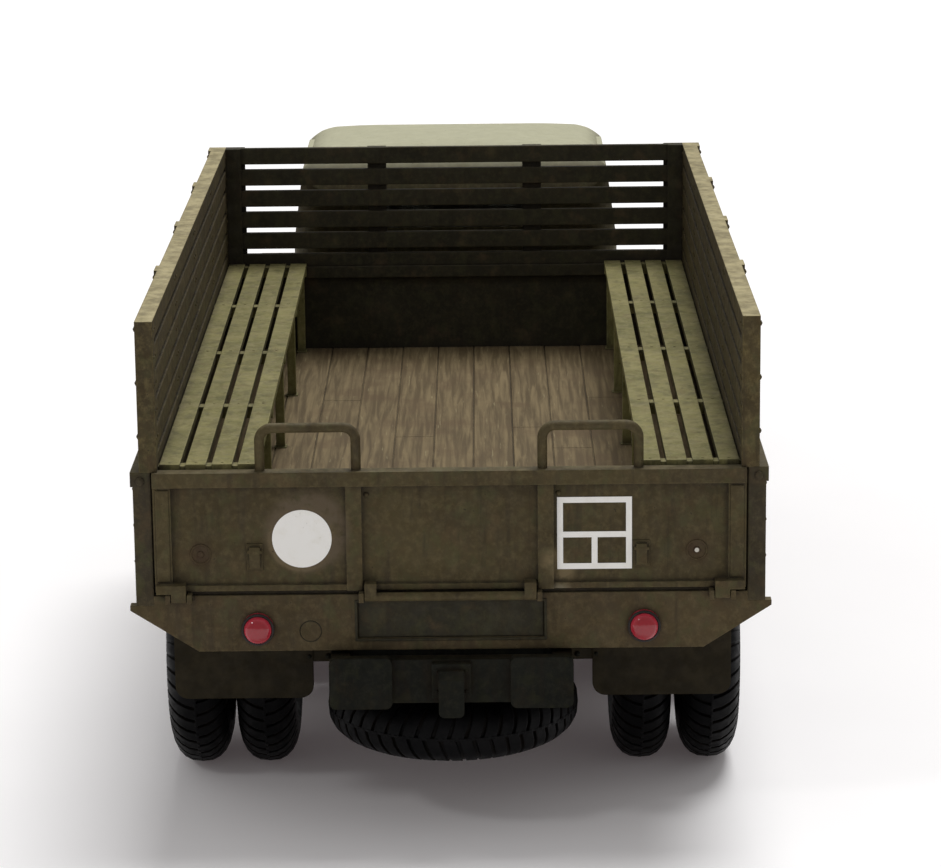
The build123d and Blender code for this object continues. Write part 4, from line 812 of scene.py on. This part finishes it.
# ---------------------------------------------------------------- racks, stake pockets and seats
BOARD_PITCH, BOARD_H = 2.77, 2.07
STRAP_Z = (38.0, 34.2, 30.4)
SLAT_PITCH = 2.65
SLAT_MIDDLE = 1.175  # from the seat's outer edge to the outer slat's middle
board_middles = [rack_high.z - i * BOARD_PITCH - BOARD_H / 2 for i in range(5)]
for name, side in (("left", 1), ("right", -1)):
    bits = Bits()
    for x in stations:
        for z in board_middles:
            for dx in (-0.75, 0.75):
                bits.rivet((x + dx, side * rack_low.y, z), (0, -side, 0), 0.2, 0.1)
        # the rear post's outer face lies a little further in
        face = rack_high.y if x > stations[0] else rack_high.y - 0.35
        for z in board_middles[::2]:
            bits.bolt((x, side * face, z), (0, side, 0), 0.3, 0.2)
        # rivets of the stake pocket straps on the side panel
        for z in STRAP_Z:
            for dx in (-0.9, 0.9):
                bits.rivet((x + dx, side * SIDE_OUT, z), (0, side, 0), 0.18, 0.1)
    bits.piece(f"rack_bolts_{name}", RACK, "chassis", edge=0)

    # slat rivets, and the foot plates of the seat's legs
    bits = Bits()
    low, high = span(f"seat_{name}")
    seat_in, seat_out = sorted((abs(low.y), abs(high.y)))
    foot = side * (seat_in + 0.8)
    for x in stations:
        leg_x = min(max(x, low.x + 0.8), high.x - 0.8)
        for i in range(4):
            y = side * (seat_out - SLAT_MIDDLE - i * SLAT_PITCH)
            bits.rivet((leg_x, y, high.z), (0, 0, 1), 0.16, 0.05)
        bits.box((leg_x - 0.75, leg_x + 0.75), (foot - 0.7, foot + 0.7), (FLOOR_TOP, FLOOR_TOP + 0.25))
    bits.piece(f"seat_fittings_{name}", SAGE, "chassis", edge=0)

# ---------------------------------------------------------------- bed floor boards
bits = Bits()
chance = random.Random(5)
WIDEST_BOARD, JOINT = 4.55, 0.16
count = int(2 * FLOOR_EDGE // WIDEST_BOARD)
pitch = 2 * FLOOR_EDGE / count
for i in range(count):
    y0 = -FLOOR_EDGE + i * pitch + JOINT / 2
    y1 = y0 + pitch - JOINT
    top = FLOOR_TOP + 0.1 + chance.uniform(0, 0.05)
    cut = BED_REAR + 1.6 + chance.uniform(25, 80)
    for x0, x1 in ((BED_REAR + 1.35, cut), (cut + 0.12, BED_FRONT - 1.05)):
        bits.box((x0, x1), (y0, y1), (FLOOR_TOP - 0.2, top))
        for x in (x0 + 0.7, x1 - 0.7):
            for y in (y0 + 1.0, y1 - 1.0):
                bits.rivet((x, y, top - 0.02), (0, 0, 1), 0.14, 0.06)
bits.piece("bed_floor_boards", BOARDS, "chassis", edge=0.07)

# ---------------------------------------------------------------- mud flaps, tail of the frame
FLAP_BOLTS_Y, STAY_BOLTS_Y = (16.6, 22.0, 27.4), (13.2, 15.2)
flap_x = span("mud_flaps")[0].x
bits = Bits()
for side in (1, -1):
    for y in FLAP_BOLTS_Y:
        bits.bolt((flap_x, side * y, 26.6), OUT, 0.34, 0.22)
    bits.box((flap_x - 0.12, flap_x + 0.02), sorted((side * 15.0, side * 29.2)), (25.9, 27.2))
    for y in STAY_BOLTS_Y:
        bits.bolt((flap_x + 0.1, side * y, 16.0), OUT, 0.26, 0.2)
bits.piece("mud_flap_clamps", CHASSIS, "chassis", edge=0.03)

pintle_low, pintle_high = span("pintle_hook")
bits = Bits()
for side in (1, -1):
    for z in (17.3, 19.5):
        bits.rivet((pintle_high.x - 0.9, side * 1.5, z), OUT, 0.22, 0.12)
bits.rod((pintle_low.x + 1.6, -1.15, 18.9), (pintle_low.x + 1.6, 1.15, 18.9), 0.2)
bits.piece("tail_fasteners", CHASSIS, "chassis", edge=0.03)

# ---------------------------------------------------------------- underside: spring clamps and axle bolts
SPRING_SIDES_Y = (13.0, 15.4)
COVER_Y, COVER_CIRCLE = 2.55, 2.5
bits = Bits()
for side in (1, -1):
    for x in (REAR_AXLE, MIDDLE_AXLE):
        for dx in (-1.0, 1.0):
            for y in SPRING_SIDES_Y:
                bits.rod((x + dx, side * y, 12.0), (x + dx, side * y, 18.0), 0.28)
for axle_x in (REAR_AXLE, MIDDLE_AXLE, FRONT_AXLE):
    for x, z in circle(axle_x, AXLE_Z, COVER_CIRCLE, 10):
        bits.rivet((x, COVER_Y, z), (0, 1, 0), 0.22, 0.14)
bits.piece("spring_clamps", CHASSIS, "chassis", edge=0)

# ---------------------------------------------------------------- cab
bits = Bits()
door_low, door_high = span("door_left")
for side in (1, -1):
    y = side * cab_high.y
    # each door's outside handle and two hinges
    bits.rod((door_low.x + 1.6, y, 38.6), (door_low.x + 1.6, y + side * 0.7, 38.6), 0.3)
    bits.rod((door_low.x + 1.0, y + side * 0.7, 38.6), (door_low.x + 4.2, y + side * 0.7, 38.4), 0.26)
    for z in (25.0, 38.0):
        bits.rod((door_high.x + 0.1, y, z - 0.9), (door_high.x + 0.1, y, z + 0.9), 0.32)
bits.piece("door_fittings", OLIVE, "chassis", edge=0)

# drip rails over the doors
EAVES = cab_high.z - 2.8
bits = Bits()
for side in (1, -1):
    ys = sorted((side * (cab_high.y - 2.2), side * (cab_high.y - 1.4)))
    bits.box((door_low.x - 0.6, door_high.x - 2.2), ys, (EAVES + 0.3, EAVES + 0.6))
bits.piece("cab_roof_trim", CAB, "chassis", edge=0.05)

# wipers and their motors
SCREEN_DOWN = Vector((0.483, 0, -1)).normalized()
bits = Bits()
for side in (1, -1):
    root = Vector((cab_high.x - 3.6, side * 7.6, EAVES + 0.5))
    tip = Vector((cab_high.x - 2.7, side * 4.6, EAVES - 3.4))
    bits.rod(root, tip, 0.14)
    bits.rod(tip - SCREEN_DOWN * 2.2, tip + SCREEN_DOWN * 2.2, 0.18)
    bits.turned(root - Vector((0.6, 0, 0)), (1, 0, 0), [(0, 0.55), (0.9, 0.5), (1.1, 0.3)], 16)
bits.piece("wipers", BLACK, "chassis", edge=0)

# ---------------------------------------------------------------- bonnet
HOOD_DROP, HOOD_LENGTH = 2.2, 36.6
bits = Bits()
# the hinge along the top and its rivets
hinge_z = hood_high.z + 0.02
bits.rod((cab_high.x + 0.3, 0, hinge_z), (hood_high.x - 0.3, 0, hinge_z - HOOD_DROP), 0.26)
for i in range(9):
    x = cab_high.x + 2 + i * 4.2
    bits.rivet((x, 0.9, hood_high.z - HOOD_DROP * (x - cab_high.x) / HOOD_LENGTH), (0, 0, 1), 0.14, 0.06)
# latches and a handle on each side
for side in (1, -1):
    for x, half in ((cab_high.x + 4.0, 14.8), (cab_high.x + 31.0, 10.3)):
        bits.box((x - 0.5, x + 0.5), sorted((side * (half - 0.3), side * (half + 0.45))), (29.7, 32.0))
        bits.rod((x, side * (half + 0.4), 31.6), (x, side * (half + 0.75), 33.2), 0.22)
    bits.rod((cab_high.x + 15, side * 13.1, 39.4), (cab_high.x + 19, side * 12.5, 39.2), 0.22)
bits.piece("bonnet_latches", OLIVE, "chassis", edge=0.05)

# ---------------------------------------------------------------- lamps, bumper and fenders
LAMP_Y, LAMP_Z, LAMP_R = 15.2, 33.4, 2.4
lamp_x = span("headlamps")[1].x
bits = Bits()
for side in (1, -1):
    bits.turned(
        (lamp_x - 0.05, side * LAMP_Y, LAMP_Z),
        (1, 0, 0),
        [(0, LAMP_R - 0.3), (0.25, LAMP_R - 0.35), (0.5, LAMP_R * 0.6), (0.62, 0.4)],
        40,
    )
bits.piece("headlamp_lenses", LENS, "chassis", edge=0, smooth=60)

MARKER_X, MARKER_Y = 74.4, 18.6
TOW_HOOK_Y = 11.3
TOW_HOOK = ((91.0, 20.5), (94.3, 20.9), (95.3, 20.1), (94.9, 19.3))  # (x, z) from the frame's end to the tip
bits = Bits()
for side in (1, -1):
    bits.ring((lamp_x, side * LAMP_Y, LAMP_Z), (1, 0, 0), LAMP_R - 0.18, 0.2, steps=40)
    # marker lamp on the fender: its foot, then its housing
    y = side * MARKER_Y
    bits.turned((MARKER_X, y, 29.3), (0, 0, 1), [(0, 0.7), (0.9, 0.6), (1.2, 0.3)], 18)
    bits.turned((MARKER_X - 1.0, y, 30.8), (1, 0, 0), [(0, 0.4), (0.6, 0.85), (1.8, 0.85), (2.0, 0.7)], 22)
    # tow hook on the frame's end, and the bumper's bolts
    bits.tube([(x, side * TOW_HOOK_Y, z) for x, z in TOW_HOOK], 0.34)
    for y in (8.0, 11.0, 26.0):
        for z in (14.2, 17.0):
            bits.rivet((bumper_high.x - 0.12, side * y, z), (1, 0, 0), 0.3, 0.1)
bits.piece("front_fittings", OLIVE, "chassis", edge=0)

# running board treads
bits = Bits()
for side in (1, -1):
    for i in range(9):
        y = side * (19.9 + i * 1.0)
        bits.box((cab_low.x + 2.2, cab_high.x - 1.6), sorted((y, y + side * 0.4)), (17.45, 17.62))
bits.piece("running_board_treads", CHASSIS, "chassis", edge=0.03)

# straps round the fuel tank and its filler, and the tool box's lid and latches
STRAP_W, STRAP_HALF = 1.2, 0.08
FILLER = [(0, 1.0), (0.6, 1.0), (0.62, 1.25), (1.3, 1.2), (1.45, 0.8)]
tank_low, tank_high = span("fuel_tank")
y0, y1, z0, z1 = tank_low.y, -14.2, 13.0, 23.4
bits = Bits()
for x in (tank_low.x + 5.0, tank_high.x - 6.0):
    # up the outer face, over the top and under the bottom
    for ys, zs in (
        ((y0 - 0.02, y0 - 0.02), (z0 + 2, z1 - 2)),
        ((y0 + 2, y1 - 2), (z1 + 0.02, z1 + 0.02)),
        ((y0 + 2, y1 - 2), (z0 - 0.02, z0 - 0.02)),
    ):
        wide, tall = ((a - STRAP_HALF, b + STRAP_HALF) for a, b in (ys, zs))
        bits.box((x, x + STRAP_W), wide, tall)
bits.turned((tank_low.x + 9.5, tank_low.y + 3.2, tank_high.z - 0.1), (0, 0, 1), FILLER, 24)
box_low, box_high = span("tool_box")
bits.box((box_low.x - 0.15, box_high.x + 0.15), (box_high.y - 0.2, box_high.y + 0.12), (21.4, 23.05))
for x in (box_low.x + 4.0, box_high.x - 4.0):
    bits.box((x - 0.7, x + 0.7), (box_high.y, box_high.y + 0.3), (20.2, 22.4))
    bits.rod((x - 0.8, box_high.y + 0.3, 21.3), (x + 0.8, box_high.y + 0.3, 21.3), 0.2)
bits.piece("tank_and_box_fittings", OLIVE, "chassis", edge=0.05)

# ---------------------------------------------------------------- floor, lights and camera
bpy.ops.mesh.primitive_plane_add(size=6.0, location=(0.4, 0, 0))
floor = bpy.context.object
floor.name = "paper_floor"
floor.data.materials.append(floor_paper("paper"))

world = bpy.data.worlds.new("studio")
bpy.context.scene.world = world
world.use_nodes = True
sky = world.node_tree.nodes["Background"]
sky.inputs["Color"].default_value = (1.0, 1.0, 1.0, 1.0)
# white where the camera looks past the floor, and dimmer as a lamp
rays = world.node_tree.nodes.new("ShaderNodeLightPath")
level = world.node_tree.nodes.new("ShaderNodeMapRange")
level.inputs["To Min"].default_value, level.inputs["To Max"].default_value = 0.42, 1.0
world.node_tree.links.new(rays.outputs["Is Camera Ray"], level.inputs["Value"])
world.node_tree.links.new(level.outputs[0], sky.inputs["Strength"])


def sun(name, towards, strength, softness):
    """A soft far lamp that shines from the direction towards."""
    lamp = bpy.data.lights.new(name, "SUN")
    lamp.energy, lamp.angle = strength, math.radians(softness)
    made = bpy.data.objects.new(name, lamp)
    made.rotation_mode = "QUATERNION"
    made.rotation_quaternion = Vector(towards).to_track_quat("Z", "Y")
    bpy.context.collection.objects.link(made)


sun("key_light", (0.32, -0.17, 1.0), 2.1, 30)
sun("glint_light", (-0.44, 0.5, 0.6), 0.2, 7)

CAMERA = {"at": (-436.96, -3.70, 128.73), "yaw": 0.25, "pitch": 13.88, "roll": -0.63, "lens": 135.38}
yaw, pitch, roll = (math.radians(CAMERA[k]) for k in ("yaw", "pitch", "roll"))
ahead = Vector((math.cos(pitch) * math.cos(yaw), math.cos(pitch) * math.sin(yaw), -math.sin(pitch)))
right = ahead.cross(Vector((0, 0, 1))).normalized()
up = right.cross(ahead)
right, up = right * math.cos(roll) + up * math.sin(roll), up * math.cos(roll) - right * math.sin(roll)
lens = bpy.data.cameras.new("camera")
lens.sensor_fit, lens.sensor_width, lens.lens = "HORIZONTAL", 36.0, CAMERA["lens"]
lens.clip_start, lens.clip_end = 0.01, 20.0
camera = bpy.data.objects.new("camera", lens)
bpy.context.collection.objects.link(camera)
turn = Matrix((right, up, -ahead)).transposed().to_4x4()
camera.matrix_world = Matrix.Translation(Vector(CAMERA["at"]) * MM) @ turn
bpy.context.scene.camera = camera
bpy.context.scene.view_settings.view_transform = "Standard"
